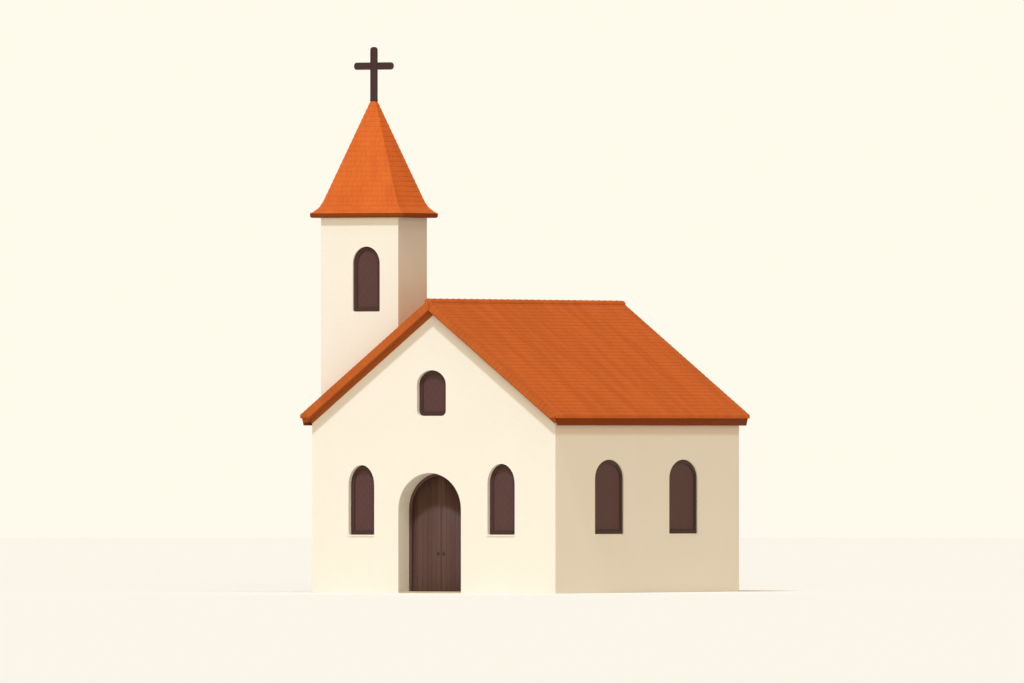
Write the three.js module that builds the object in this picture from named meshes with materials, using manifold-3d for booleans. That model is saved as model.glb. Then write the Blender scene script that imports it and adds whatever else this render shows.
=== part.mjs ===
// A small plastered church: a gabled nave with a tiled roof, and a bell tower of oblong
// plan with a bell-cast spire behind the left of its front gable.
// Millimetres, +Z up. The origin is the centre of the nave's plan at ground level,
// the front gable faces -Y, and +X is to the right seen from the front.
import * as THREE from "three";
import { mergeVertices } from "three/addons/utils/BufferGeometryUtils.js";
import Module from "manifold-3d";

const wasm = await Module();
wasm.setup();

// Clearances
const GAP = 0.3;
const BEYOND = 100;
const MERGE_DISTANCE = 1e-3;

// Nave walls
const NAVE_WIDTH = 8220;
const NAVE_LENGTH = 10880;
const FRONT_WALL = 720;
const WALL = 550;
const EAVE_HEIGHT = 5100;
const HALF_WIDTH = NAVE_WIDTH / 2;
const FRONT_Y = -NAVE_LENGTH / 2;
const REAR_Y = NAVE_LENGTH / 2;
const FRONT_INNER_Y = FRONT_Y + FRONT_WALL;
const REAR_INNER_Y = REAR_Y - WALL;
const SIDE_INNER_X = HALF_WIDTH - WALL;

// Nave roof
const PITCH = THREE.MathUtils.degToRad(37.7);
const DECK_THICKNESS = 155;
const TILE_THICKNESS = 70;
const FRONT_VERGE = 325;
const REAR_VERGE = 250;
const DECK_OVERHANG = 155;
const TILE_OVERHANG = 225;
const VERGE_LIP = 45;
const VERGE_LIP_DROP = 10;
const VERGE_LIP_OVERLAP = 1;
const VERGE_LIP_LOW_END = 5110;
const FASCIA_THICKNESS = 35;
const FASCIA_BOTTOM = 4897;
const GABLE_BOARD_THICKNESS = 45;
const GABLE_BOARD_HEIGHT = 150;
const RIDGE_CAP_RADIUS = 120;
const RIDGE_CAP_CENTRE_DROP = 73;
const RIDGE_CAP_STEPS = 16;
const RIDGE_BEAM_WIDTH = 160;
const RIDGE_BEAM_HEIGHT = 240;

// Tower
const TOWER_WIDTH = 2625;
const TOWER_DEPTH = 1670;
const TOWER_WALL = 350;
const TOWER_HEIGHT = 10985;
const TOWER_LEFT_X = -4237;
const TOWER_X = TOWER_LEFT_X + TOWER_WIDTH / 2;
const TOWER_RIGHT_X = TOWER_LEFT_X + TOWER_WIDTH;
const TOWER_FRONT_Y = FRONT_INNER_Y + GAP;
const TOWER_Y = TOWER_FRONT_Y + TOWER_DEPTH / 2;
const TOWER_REAR_Y = TOWER_FRONT_Y + TOWER_DEPTH;

// Spire and cross, with heights above the tower's walls
const SPIRE_HALF_WIDTH = 1582;
const SPIRE_HALF_DEPTH = 1015;
const SPIRE_EAVE = 133;
const SPIRE_BEND_SHARE = 0.862;
const SPIRE_BEND_HEIGHT = 215;
const SPIRE_STRAIGHT_SHARE = 0.78;
const SPIRE_STRAIGHT_HEIGHT = 545;
const SPIRE_TOP_SHARE = 0.0587;
const SPIRE_TOP_HEIGHT = 3425;
const SPIRE_CURVE_STEPS = 8;
const SPIRE_INNER_EAVE_SHARE = 0.76;
const SPIRE_INNER_BEND_SHARE = 0.72;
const SPIRE_INNER_TOP_HEIGHT = 3405;
const HIP_WEDGE_REACH = 1.2;
const CROSS_HEIGHT = 1590;
const CROSS_POST_WIDTH = 205;
const CROSS_THICKNESS = 85;
const CROSS_ARM_LENGTH = 1309;
const CROSS_ARM_HEIGHT = 215;
const CROSS_ARM_CENTRE = 1030;
const CROSS_END_RADIUS = 90;
const CROSS_CORNER_STEPS = 6;
const CROSS_FOOT = { width: 206, depth: 119, height: 40 };

// Floor and entrance, with heights above the ground
const FLOOR_THICKNESS = 45;
const DOOR_X = -130;
const DOOR_HALF_WIDTH = 1058;
const DOOR_SPRINGING = 2450;
const DOOR_ARCH_STEPS = 24;
const DOOR_PIER_WIDTH = 200;
const DOOR_FRAME_WIDTH = 90;
const DOOR_FRAME_DEPTH = 100;
const LEAF_RADIUS = 960;
const LEAF_THICKNESS = 50;
const LEAF_SETBACK = FRONT_WALL - 55;
const LEAF_BOTTOM = 53;
const LEAF_MEETING_GAP = 6;
const HINGE_OFFSET = 964;
const HINGE_SETBACK = FRONT_WALL + 22;
const HINGE_HEIGHTS = [400, 1350, 2300];
const PIN_RADIUS = 9;
const PIN_DISC_RADIUS = 14;
const PIN_BRACKET_HEIGHT = 30;
const PIN_BRACKET_START = 5;
const PIN_BRACKET_END = 50;
const PIN_BRACKET_REACH = 12;
const HINGE_ROOT = 2;
const KNUCKLE_RADIUS = 16;
const KNUCKLE_BORE = 9.5;
const KNUCKLE_HEIGHT = 60;
const STRAP_HEIGHT = 50;
const STRAP_THICKNESS = 12;
const STRAP_LENGTH = 700;
const NECK_LENGTH = 14;
const NECK_SETBACK = 6;
const ROUND_STEPS = 24;

// Windows
const WINDOW_DEPTH = 80;
const PANE_THICKNESS = 24;
const WINDOW_ARCH_STEPS = 16;
const WINDOW_CORNER_STEPS = 3;
const WINDOW_LEAST_CORNER = 12;
const FRONT_LEFT = { width: 870, height: 2050, rise: 580, corner: 40, frame: 85, recess: 140 };
const FRONT_RIGHT = { width: 917, height: 2080, rise: 580, corner: 40, frame: 85, recess: 140 };
const GABLE = { width: 975, height: 1336, rise: 430, corner: 140, frame: 85, recess: 140 };
const BELFRY = { width: 914, height: 1906, rise: 500, corner: 40, frame: 85, recess: 60 };
const SIDE = { width: 1705, height: 2185, rise: 550, corner: 40, frame: 110, recess: 40 };
const FRONT_LEFT_X = -2440;
const FRONT_LEFT_SILL = 1690;
const FRONT_RIGHT_X = 2280;
const GABLE_FRONT_X = -70;
const REAR_X = 2360;
const LOW_SILL = 1700;
const GABLE_SILL = 5176;
const RIGHT_FRONT_Y = -2270;
const LEFT_FRONT_Y = -1500;
const SIDE_REAR_Y = 2120;
const SIDE_SILL = 1715;
const BELFRY_SHIFT = 227.5;
const BELFRY_SILL = 8235;

// Materials
function finish(name, color, roughness, metalness = 0) {
  const material = new THREE.MeshStandardMaterial({ color, roughness, metalness });
  material.name = name;
  material.flatShading = true;
  return material;
}
const plaster = finish("plaster", 0xfdf1da, 0.9);
const floorStone = finish("floor stone", 0xb9a68a, 0.85);
const roofClay = finish("roof clay", 0xc9612b, 0.8);
const spireClay = finish("spire clay", 0xe57031, 0.8);
const eaveTimber = finish("eave timber", 0x904117, 0.65);
const joinery = finish("joinery", 0x60453f, 0.55);
const ironwork = finish("ironwork", 0x4c3630, 0.5, 0.6);

// Solids and meshes
function solid(geometry) {
  const bare = geometry.index ? geometry.toNonIndexed() : geometry.clone();
  bare.deleteAttribute("normal");
  bare.deleteAttribute("uv");
  const merged = mergeVertices(bare, MERGE_DISTANCE);
  const triVerts = new Uint32Array(merged.index.array);
  const vertProperties = merged.attributes.position.array;
  return new wasm.Manifold(new wasm.Mesh({ numProp: 3, vertProperties, triVerts }));
}

function piece(name, body, material) {
  const cut = body.getMesh();
  const geometry = new THREE.BufferGeometry();
  geometry.setAttribute("position", new THREE.BufferAttribute(cut.vertProperties, 3));
  geometry.setIndex(new THREE.BufferAttribute(cut.triVerts, 1));
  geometry.computeVertexNormals();
  const mesh = new THREE.Mesh(geometry, material);
  mesh.name = name;
  return mesh;
}

function block(x0, x1, y0, y1, z0, z1) {
  const geometry = new THREE.BoxGeometry(x1 - x0, y1 - y0, z1 - z0);
  return solid(geometry.translate((x0 + x1) / 2, (y0 + y1) / 2, (z0 + z1) / 2));
}

// A block between two places across, given in either order
function blockBetween(xa, xb, y0, y1, z0, z1) {
  return block(Math.min(xa, xb), Math.max(xa, xb), y0, y1, z0, z1);
}

function column(x, y, radius, z0, z1) {
  const geometry = new THREE.CylinderGeometry(radius, radius, z1 - z0, ROUND_STEPS);
  return solid(geometry.rotateX(Math.PI / 2).translate(x, y, (z0 + z1) / 2));
}

// A prism along Y whose outline holds points of X and Z.
function prismGeometry(outline, y0, y1) {
  const geometry = new THREE.ExtrudeGeometry(new THREE.Shape(outline), {
    depth: y1 - y0,
    bevelEnabled: false,
  });
  return geometry.rotateX(Math.PI / 2).translate(0, y1, 0);
}

function prism(outline, y0, y1) {
  return solid(prismGeometry(outline, y0, y1));
}

function arc(cx, cz, rx, rz, start, end, steps) {
  const points = [];
  for (let i = 0; i <= steps; i++) {
    const angle = start + ((end - start) * i) / steps;
    points.push(new THREE.Vector2(cx + rx * Math.cos(angle), cz + rz * Math.sin(angle)));
  }
  return points;
}

function line(...pairs) {
  return pairs.map(([x, z]) => new THREE.Vector2(x, z));
}

function mirrored(outline) {
  return outline.map((p) => new THREE.Vector2(-p.x, p.y));
}

// Height of the roof's underside over the walls, raised by lift measured upright.
function slope(x, lift = 0) {
  return EAVE_HEIGHT + (HALF_WIDTH - Math.abs(x)) * Math.tan(PITCH) + lift;
}

// Roof layers, measured upright from the underside
const DECK_BOTTOM = GAP;
const DECK_TOP = DECK_BOTTOM + DECK_THICKNESS / Math.cos(PITCH);
const TILE_BOTTOM = DECK_TOP + GAP;
const TILE_TOP = TILE_BOTTOM + TILE_THICKNESS / Math.cos(PITCH);
const DECK_END_X = HALF_WIDTH + DECK_OVERHANG;
const TILE_END_X = HALF_WIDTH + TILE_OVERHANG;
const VERGE_FRONT_Y = FRONT_Y - FRONT_VERGE;
const VERGE_REAR_Y = REAR_Y + REAR_VERGE;
const DECK_FRONT_Y = VERGE_FRONT_Y + VERGE_LIP + GAP;
const DECK_REAR_Y = VERGE_REAR_Y - VERGE_LIP - GAP;

// Windows: each unit is drawn at the origin with its outer face on y = 0 and its sill on z = 0
function windowOutline(size, inset) {
  const half = size.width / 2 - inset;
  const rise = size.rise - inset;
  const springing = size.height - size.rise;
  const corner = Math.max(size.corner - inset, WINDOW_LEAST_CORNER);
  const x = half - corner;
  const z = inset + corner;
  return [
    ...arc(-x, z, corner, corner, Math.PI, 1.5 * Math.PI, WINDOW_CORNER_STEPS),
    ...arc(x, z, corner, corner, 1.5 * Math.PI, 2 * Math.PI, WINDOW_CORNER_STEPS),
    ...arc(0, springing, half, rise, 0, Math.PI, WINDOW_ARCH_STEPS),
  ];
}

// Where a window stands: the outer face of its wall, and the turn that points local +Y inwards.
function placed(x, y, sill, turn = 0) {
  return { position: new THREE.Vector3(x, y, sill), turn };
}

function cutWindow(wall, size, place) {
  const { x, y, z } = place.position;
  const hole = prismGeometry(windowOutline(size, 0), -BEYOND, FRONT_WALL + BEYOND);
  return wall.subtract(solid(hole.rotateZ(place.turn).translate(x, y, z)));
}

function windowUnit(name, size, place) {
  const face = size.recess;
  const back = size.recess + WINDOW_DEPTH;
  const outer = prism(windowOutline(size, GAP), face, back);
  const inner = windowOutline(size, size.frame);
  const reveal = (WINDOW_DEPTH - PANE_THICKNESS) / 2;
  const front = prism(inner, face - BEYOND, face + reveal);
  const rear = prism(inner, back - reveal, back + BEYOND);
  const mesh = piece(name, outer.subtract(front).subtract(rear), joinery);
  mesh.position.copy(place.position);
  mesh.rotation.z = place.turn;
  return mesh;
}

const INWARDS = { front: 0, rear: Math.PI, right: Math.PI / 2, left: -Math.PI / 2 };
const frontLeftPlace = placed(FRONT_LEFT_X, FRONT_Y, FRONT_LEFT_SILL, INWARDS.front);
const frontRightPlace = placed(FRONT_RIGHT_X, FRONT_Y, LOW_SILL, INWARDS.front);
const gableFrontPlace = placed(GABLE_FRONT_X, FRONT_Y, GABLE_SILL, INWARDS.front);
const rearLeftPlace = placed(-REAR_X, REAR_Y, LOW_SILL, INWARDS.rear);
const rearRightPlace = placed(REAR_X, REAR_Y, LOW_SILL, INWARDS.rear);
const gableRearPlace = placed(0, REAR_Y, GABLE_SILL, INWARDS.rear);
const rightFrontPlace = placed(HALF_WIDTH, RIGHT_FRONT_Y, SIDE_SILL, INWARDS.right);
const rightRearPlace = placed(HALF_WIDTH, SIDE_REAR_Y, SIDE_SILL, INWARDS.right);
const leftFrontPlace = placed(-HALF_WIDTH, LEFT_FRONT_Y, SIDE_SILL, INWARDS.left);
const leftRearPlace = placed(-HALF_WIDTH, SIDE_REAR_Y, SIDE_SILL, INWARDS.left);
const belfryFrontPlace = placed(BELFRY_SHIFT, -TOWER_DEPTH / 2, BELFRY_SILL, INWARDS.front);
const belfryRearPlace = placed(BELFRY_SHIFT, TOWER_DEPTH / 2, BELFRY_SILL, INWARDS.rear);

// Gable wall outline between two places across the nave, from a height up to the roof
function gableOutline(x0, x1, bottom) {
  const outline = line([x0, bottom], [x1, bottom], [x1, slope(x1)]);
  if (x0 < 0 && x1 > 0) outline.push(new THREE.Vector2(0, slope(0)));
  outline.push(new THREE.Vector2(x0, slope(x0)));
  return outline;
}

function doorOutline(radius, bottom) {
  const sides = line([-radius, bottom], [radius, bottom]);
  return [...sides, ...arc(0, DOOR_SPRINGING, radius, radius, 0, Math.PI, DOOR_ARCH_STEPS)];
}

// The front wall in five: one at each side of the doorway, two piers and the arch between
// them, and the gable, which stands on the arch from the height of the eaves.
function frontWalls() {
  const group = new THREE.Group();
  const y0 = FRONT_Y;
  const y1 = FRONT_INNER_Y;
  const pier = DOOR_HALF_WIDTH + DOOR_PIER_WIDTH;
  const leftEdge = DOOR_X - pier;
  const rightEdge = DOOR_X + pier;
  const left = prism(gableOutline(-HALF_WIDTH, leftEdge - GAP, 0), y0, y1);
  const right = prism(gableOutline(rightEdge + GAP, HALF_WIDTH, 0), y0, y1);
  const hole = prismGeometry(doorOutline(DOOR_HALF_WIDTH, 0), y0 - BEYOND, y1 + BEYOND);
  const over = block(leftEdge, rightEdge, y0, y1, DOOR_SPRINGING + GAP, EAVE_HEIGHT - GAP)
    .subtract(solid(hole.translate(DOOR_X, 0, 0)));
  const gable = prism(gableOutline(leftEdge, rightEdge, EAVE_HEIGHT), y0, y1);
  group.add(piece("front_wall_left", cutWindow(left, FRONT_LEFT, frontLeftPlace), plaster));
  group.add(piece("front_wall_right", cutWindow(right, FRONT_RIGHT, frontRightPlace), plaster));
  group.add(piece("front_wall_over_door", over, plaster));
  group.add(piece("front_gable", cutWindow(gable, GABLE, gableFrontPlace), plaster));
  for (const [side, x] of [["left", leftEdge], ["right", DOOR_X + DOOR_HALF_WIDTH]]) {
    const body = block(x, x + DOOR_PIER_WIDTH, FRONT_Y, FRONT_INNER_Y, 0, DOOR_SPRINGING);
    group.add(piece("door_pier_" + side, body, plaster));
  }
  return group;
}

function rearWall() {
  const whole = prism(gableOutline(-HALF_WIDTH, HALF_WIDTH, 0), REAR_INNER_Y, REAR_Y);
  const low = cutWindow(cutWindow(whole, FRONT_RIGHT, rearLeftPlace), FRONT_RIGHT, rearRightPlace);
  return piece("rear_wall", cutWindow(low, GABLE, gableRearPlace), plaster);
}

function sideWallOutline() {
  return line(
    [SIDE_INNER_X, 0],
    [HALF_WIDTH, 0],
    [HALF_WIDTH, slope(HALF_WIDTH)],
    [SIDE_INNER_X, slope(SIDE_INNER_X)],
  );
}

function sideWalls() {
  const group = new THREE.Group();
  const right = prism(sideWallOutline(), FRONT_INNER_Y + GAP, REAR_INNER_Y - GAP);
  const left = prism(mirrored(sideWallOutline()), TOWER_REAR_Y + GAP, REAR_INNER_Y - GAP);
  const rightCut = cutWindow(cutWindow(right, SIDE, rightFrontPlace), SIDE, rightRearPlace);
  const leftCut = cutWindow(cutWindow(left, SIDE, leftFrontPlace), SIDE, leftRearPlace);
  group.add(piece("right_wall", rightCut, plaster));
  group.add(piece("left_wall", leftCut, plaster));
  return group;
}

function naveWindows() {
  const group = new THREE.Group();
  group.add(windowUnit("window_front_left", FRONT_LEFT, frontLeftPlace));
  group.add(windowUnit("window_front_right", FRONT_RIGHT, frontRightPlace));
  group.add(windowUnit("window_gable_front", GABLE, gableFrontPlace));
  group.add(windowUnit("window_rear_left", FRONT_RIGHT, rearLeftPlace));
  group.add(windowUnit("window_rear_right", FRONT_RIGHT, rearRightPlace));
  group.add(windowUnit("window_gable_rear", GABLE, gableRearPlace));
  group.add(windowUnit("window_right_front", SIDE, rightFrontPlace));
  group.add(windowUnit("window_right_rear", SIDE, rightRearPlace));
  group.add(windowUnit("window_left_front", SIDE, leftFrontPlace));
  group.add(windowUnit("window_left_rear", SIDE, leftRearPlace));
  return group;
}

function floor() {
  const group = new THREE.Group();
  const inside = SIDE_INNER_X - GAP;
  const frontY = FRONT_INNER_Y + GAP;
  const rearY = REAR_INNER_Y - GAP;
  const whole = block(-inside, inside, frontY, rearY, 0, FLOOR_THICKNESS);
  const slab = whole.subtract(towerNotch());
  group.add(piece("floor_slab", slab, floorStone));
  const half = DOOR_HALF_WIDTH - GAP;
  const sill = block(DOOR_X - half, DOOR_X + half, FRONT_Y, FRONT_INNER_Y, 0, FLOOR_THICKNESS);
  group.add(piece("door_threshold", sill, floorStone));
  return group;
}

// The space that the tower takes out of the floor and of the left roof slope, open to the left
function towerNotch() {
  const left = -TILE_END_X - BEYOND;
  const right = TOWER_RIGHT_X + GAP;
  const frontY = TOWER_FRONT_Y - GAP;
  const rearY = TOWER_REAR_Y + GAP;
  return block(left, right, frontY, rearY, -BEYOND, TOWER_HEIGHT);
}

// One layer of the right slope, from the ridge to the eave
function layerOutline(endX, bottom, top) {
  return line(
    [GAP / 2, slope(GAP / 2, bottom)],
    [endX, slope(endX, bottom)],
    [endX, slope(endX, top)],
    [GAP / 2, slope(GAP / 2, top)],
  );
}

// The turned-down edge of the tiles over the end of the deck, cut level near the eave
function vergeLipOutline() {
  const drop = -VERGE_LIP_DROP;
  const top = TILE_BOTTOM + VERGE_LIP_OVERLAP;
  const levelX = HALF_WIDTH - (VERGE_LIP_LOW_END - drop - EAVE_HEIGHT) / Math.tan(PITCH);
  return line(
    [GAP / 2, slope(GAP / 2, drop)],
    [levelX, VERGE_LIP_LOW_END],
    [TILE_END_X, VERGE_LIP_LOW_END],
    [TILE_END_X, slope(TILE_END_X, top)],
    [GAP / 2, slope(GAP / 2, top)],
  );
}

function gableBoardOutline() {
  return line(
    [GAP / 2, slope(GAP / 2, -GABLE_BOARD_HEIGHT)],
    [HALF_WIDTH, slope(HALF_WIDTH, -GABLE_BOARD_HEIGHT)],
    [HALF_WIDTH, slope(HALF_WIDTH)],
    [GAP / 2, slope(GAP / 2)],
  );
}

function fasciaOutline() {
  const inner = DECK_END_X + GAP;
  const outer = inner + FASCIA_THICKNESS;
  const top = TILE_BOTTOM - GAP;
  return line(
    [inner, FASCIA_BOTTOM],
    [outer, FASCIA_BOTTOM],
    [outer, slope(outer, top)],
    [inner, slope(inner, top)],
  );
}

function roofSlope(side) {
  const group = new THREE.Group();
  const turn = side === "left" ? mirrored : (outline) => outline;
  const notch = (body) => body.subtract(towerNotch());
  const clear = side === "left" ? notch : (body) => body;
  const deckOutline = turn(layerOutline(DECK_END_X, DECK_BOTTOM, DECK_TOP));
  const deck = prism(deckOutline, DECK_FRONT_Y, DECK_REAR_Y);
  const lip = turn(vergeLipOutline());
  const tileOutline = turn(layerOutline(TILE_END_X, TILE_BOTTOM, TILE_TOP));
  const tiles = prism(tileOutline, VERGE_FRONT_Y, VERGE_REAR_Y)
    .add(prism(lip, VERGE_FRONT_Y, VERGE_FRONT_Y + VERGE_LIP))
    .add(prism(lip, VERGE_REAR_Y - VERGE_LIP, VERGE_REAR_Y));
  group.add(piece("roof_deck_" + side, clear(deck), eaveTimber));
  group.add(piece("roof_tiles_" + side, clear(tiles), roofClay));
  const board = turn(gableBoardOutline());
  const frontBoard = prism(board, FRONT_Y - GABLE_BOARD_THICKNESS - GAP, FRONT_Y - GAP);
  const rearBoard = prism(board, REAR_Y + GAP, REAR_Y + GABLE_BOARD_THICKNESS + GAP);
  group.add(piece("gable_board_front_" + side, frontBoard, eaveTimber));
  group.add(piece("gable_board_rear_" + side, rearBoard, eaveTimber));
  return group;
}

function fascias() {
  const group = new THREE.Group();
  const right = fasciaOutline();
  const left = mirrored(right);
  group.add(piece("fascia_right", prism(right, DECK_FRONT_Y, DECK_REAR_Y), eaveTimber));
  group.add(piece("fascia_left_front", prism(left, DECK_FRONT_Y, TOWER_FRONT_Y - GAP), eaveTimber));
  group.add(piece("fascia_left_rear", prism(left, TOWER_REAR_Y + GAP, DECK_REAR_Y), eaveTimber));
  return group;
}

// Half-round caps bedded along the top of both slopes
function ridgeCaps() {
  const centre = slope(0, TILE_TOP) - RIDGE_CAP_CENTRE_DROP;
  const radius = RIDGE_CAP_RADIUS;
  const outline = [
    ...arc(0, centre, radius, radius, 0, Math.PI, RIDGE_CAP_STEPS),
    ...line([-radius, slope(radius, TILE_TOP + GAP)], [0, slope(0, TILE_TOP + GAP)]),
    ...line([radius, slope(radius, TILE_TOP + GAP)]),
  ];
  return piece("ridge_caps", prism(outline, VERGE_FRONT_Y, VERGE_REAR_Y), roofClay);
}

function ridgeBeam() {
  const half = RIDGE_BEAM_WIDTH / 2;
  const top = slope(half);
  const bottom = top - RIDGE_BEAM_HEIGHT;
  const body = block(-half, half, FRONT_INNER_Y + GAP, REAR_INNER_Y - GAP, bottom, top);
  return piece("ridge_beam", body, eaveTimber);
}

function nave() {
  const group = new THREE.Group();
  group.add(frontWalls(), rearWall(), sideWalls(), naveWindows(), floor());
  group.add(roofSlope("right"), roofSlope("left"), fascias(), ridgeCaps(), ridgeBeam());
  return group;
}

// Tower, drawn about the middle of its own plan
function towerWalls() {
  const group = new THREE.Group();
  const x = TOWER_WIDTH / 2;
  const y = TOWER_DEPTH / 2;
  const front = block(-x, x, -y, -y + TOWER_WALL, 0, TOWER_HEIGHT);
  const rear = block(-x, x, y - TOWER_WALL, y, 0, TOWER_HEIGHT);
  const sideY = y - TOWER_WALL - GAP;
  const behindFacade = placed(FRONT_LEFT_X - TOWER_X, -y, FRONT_LEFT_SILL);
  const frontCut = cutWindow(cutWindow(front, BELFRY, belfryFrontPlace), FRONT_LEFT, behindFacade);
  group.add(piece("tower_front_wall", frontCut, plaster));
  group.add(piece("tower_rear_wall", cutWindow(rear, BELFRY, belfryRearPlace), plaster));
  const left = block(-x, -x + TOWER_WALL, -sideY, sideY, 0, TOWER_HEIGHT);
  const right = block(x - TOWER_WALL, x, -sideY, sideY, 0, TOWER_HEIGHT);
  group.add(piece("tower_left_wall", left, plaster));
  group.add(piece("tower_right_wall", right, plaster));
  return group;
}

// A stack of level rectangles, each a share of the eave's size, closed at both ends.
function stack(levels) {
  const profile = levels.map(([share, z]) => new THREE.Vector2(share * Math.SQRT2, z));
  profile.unshift(new THREE.Vector2(0, levels[0][1]));
  if (levels.at(-1)[0] > 0) profile.push(new THREE.Vector2(0, levels.at(-1)[1]));
  const geometry = new THREE.LatheGeometry(profile, 4);
  geometry.rotateX(Math.PI / 2).rotateZ(Math.PI / 4);
  return solid(geometry.scale(SPIRE_HALF_WIDTH, SPIRE_HALF_DEPTH, 1));
}

function spireShell() {
  const bellCast = new THREE.QuadraticBezierCurve(
    new THREE.Vector2(1, SPIRE_EAVE + GAP),
    new THREE.Vector2(SPIRE_BEND_SHARE, SPIRE_BEND_HEIGHT),
    new THREE.Vector2(SPIRE_STRAIGHT_SHARE, SPIRE_STRAIGHT_HEIGHT),
  );
  const curve = bellCast.getPoints(SPIRE_CURVE_STEPS).map((p) => [p.x, p.y]);
  const outer = stack([...curve, [SPIRE_TOP_SHARE, SPIRE_TOP_HEIGHT]]);
  const inner = stack([
    [SPIRE_INNER_EAVE_SHARE, SPIRE_EAVE - BEYOND],
    [SPIRE_INNER_EAVE_SHARE, SPIRE_EAVE + GAP],
    [SPIRE_INNER_BEND_SHARE, SPIRE_STRAIGHT_HEIGHT],
    [0, SPIRE_INNER_TOP_HEIGHT],
  ]);
  return outer.subtract(inner);
}

// The quarter of the plan between two hips, which meet a little off the middle line
function hipWedge(side) {
  const x = SPIRE_HALF_WIDTH * HIP_WEDGE_REACH;
  const y = SPIRE_HALF_DEPTH * HIP_WEDGE_REACH;
  const corners = {
    front: [[0, -GAP], [x, -y - GAP], [-x, -y - GAP]],
    rear: [[0, GAP], [-x, y + GAP], [x, y + GAP]],
    right: [[GAP, 0], [x + GAP, y], [x + GAP, -y]],
    left: [[-GAP, 0], [-x - GAP, -y], [-x - GAP, y]],
  };
  const shape = new THREE.Shape(line(...corners[side]).reverse());
  const depth = SPIRE_TOP_HEIGHT + BEYOND;
  return solid(new THREE.ExtrudeGeometry(shape, { depth, bevelEnabled: false }));
}

function spire() {
  const group = new THREE.Group();
  const eaveX = SPIRE_HALF_WIDTH;
  const eaveY = SPIRE_HALF_DEPTH;
  const ring = block(-eaveX, eaveX, -eaveY, eaveY, GAP, SPIRE_EAVE);
  const x = TOWER_WIDTH / 2 - TOWER_WALL;
  const y = TOWER_DEPTH / 2 - TOWER_WALL;
  const hole = block(-x, x, -y, y, -BEYOND, SPIRE_EAVE + BEYOND);
  group.add(piece("spire_eave_frame", ring.subtract(hole), eaveTimber));
  const shell = spireShell();
  for (const side of ["front", "right", "rear", "left"]) {
    group.add(piece("spire_" + side, shell.intersect(hipWedge(side)), spireClay));
  }
  const top = cross();
  top.position.z = SPIRE_TOP_HEIGHT;
  group.add(top);
  return group;
}

// A flat bar outline with all four corners, or only the top two, rounded
function barOutline(x0, x1, z0, z1, bottomRadius, topRadius) {
  const outline = [];
  const quarter = Math.PI / 2;
  const steps = CROSS_CORNER_STEPS;
  const corner = (x, z, radius, start) => {
    if (radius > 0) outline.push(...arc(x, z, radius, radius, start, start + quarter, steps));
    else outline.push(new THREE.Vector2(x, z));
  };
  corner(x0 + bottomRadius, z0 + bottomRadius, bottomRadius, Math.PI);
  corner(x1 - bottomRadius, z0 + bottomRadius, bottomRadius, Math.PI + quarter);
  corner(x1 - topRadius, z1 - topRadius, topRadius, 0);
  corner(x0 + topRadius, z1 - topRadius, topRadius, quarter);
  return outline;
}

// The arm is let into the rear of the post by half its thickness, and the post into its front.
function cross() {
  const group = new THREE.Group();
  const post = CROSS_POST_WIDTH / 2;
  const face = CROSS_THICKNESS / 2;
  const arm = CROSS_ARM_LENGTH / 2;
  const low = CROSS_ARM_CENTRE - CROSS_ARM_HEIGHT / 2;
  const high = CROSS_ARM_CENTRE + CROSS_ARM_HEIGHT / 2;
  const { width, depth, height } = CROSS_FOOT;
  const foot = block(-width / 2, width / 2, -depth / 2, depth / 2, GAP, height);
  const round = CROSS_END_RADIUS;
  const upright = prism(barOutline(-post, post, GAP, CROSS_HEIGHT, 0, round), -face, face);
  const armSeat = block(-post - BEYOND, post + BEYOND, 0, face + BEYOND, low - GAP, high + GAP);
  const across = prism(barOutline(-arm, arm, low, high, round, round), -face, face);
  const seatX = post + GAP;
  const postSeat = block(-seatX, seatX, -face - BEYOND, GAP, low - BEYOND, high + BEYOND);
  group.add(piece("cross_post", upright.add(foot).subtract(armSeat), ironwork));
  group.add(piece("cross_arm", across.subtract(postSeat), ironwork));
  return group;
}

function tower() {
  const group = new THREE.Group();
  group.position.set(TOWER_X, TOWER_Y, 0);
  group.add(towerWalls());
  group.add(windowUnit("window_tower_front", BELFRY, belfryFrontPlace));
  group.add(windowUnit("window_tower_rear", BELFRY, belfryRearPlace));
  const roof = spire();
  roof.position.z = TOWER_HEIGHT;
  group.add(roof);
  return group;
}

// Entrance, drawn about the middle of the doorway on the front wall's outer face.
// side is -1 for the left leaf and 1 for the right one.
function hingePin(side, z) {
  const x = side * HINGE_OFFSET;
  const y0 = FRONT_WALL - HINGE_ROOT;
  const y1 = HINGE_SETBACK + PIN_BRACKET_REACH;
  const near = x + side * PIN_BRACKET_START;
  const far = x + side * PIN_BRACKET_END;
  const low = z - PIN_BRACKET_HEIGHT;
  const arm = blockBetween(near, far, y0, y1, low, z);
  const disc = column(x, HINGE_SETBACK, PIN_DISC_RADIUS, low, z);
  const pin = column(x, HINGE_SETBACK, PIN_RADIUS, (low + z) / 2, z + KNUCKLE_HEIGHT);
  return arm.add(disc).add(pin);
}

function doorFrame() {
  const y0 = FRONT_WALL - DOOR_FRAME_DEPTH;
  const outer = prism(doorOutline(DOOR_HALF_WIDTH - GAP, FLOOR_THICKNESS + GAP), y0, FRONT_WALL);
  const hole = doorOutline(DOOR_HALF_WIDTH - DOOR_FRAME_WIDTH, -BEYOND);
  let frame = outer.subtract(prism(hole, y0 - BEYOND, FRONT_WALL + BEYOND));
  for (const side of [-1, 1]) {
    for (const z of HINGE_HEIGHTS) frame = frame.add(hingePin(side, z));
  }
  return piece("door_frame", frame, joinery);
}

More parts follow.
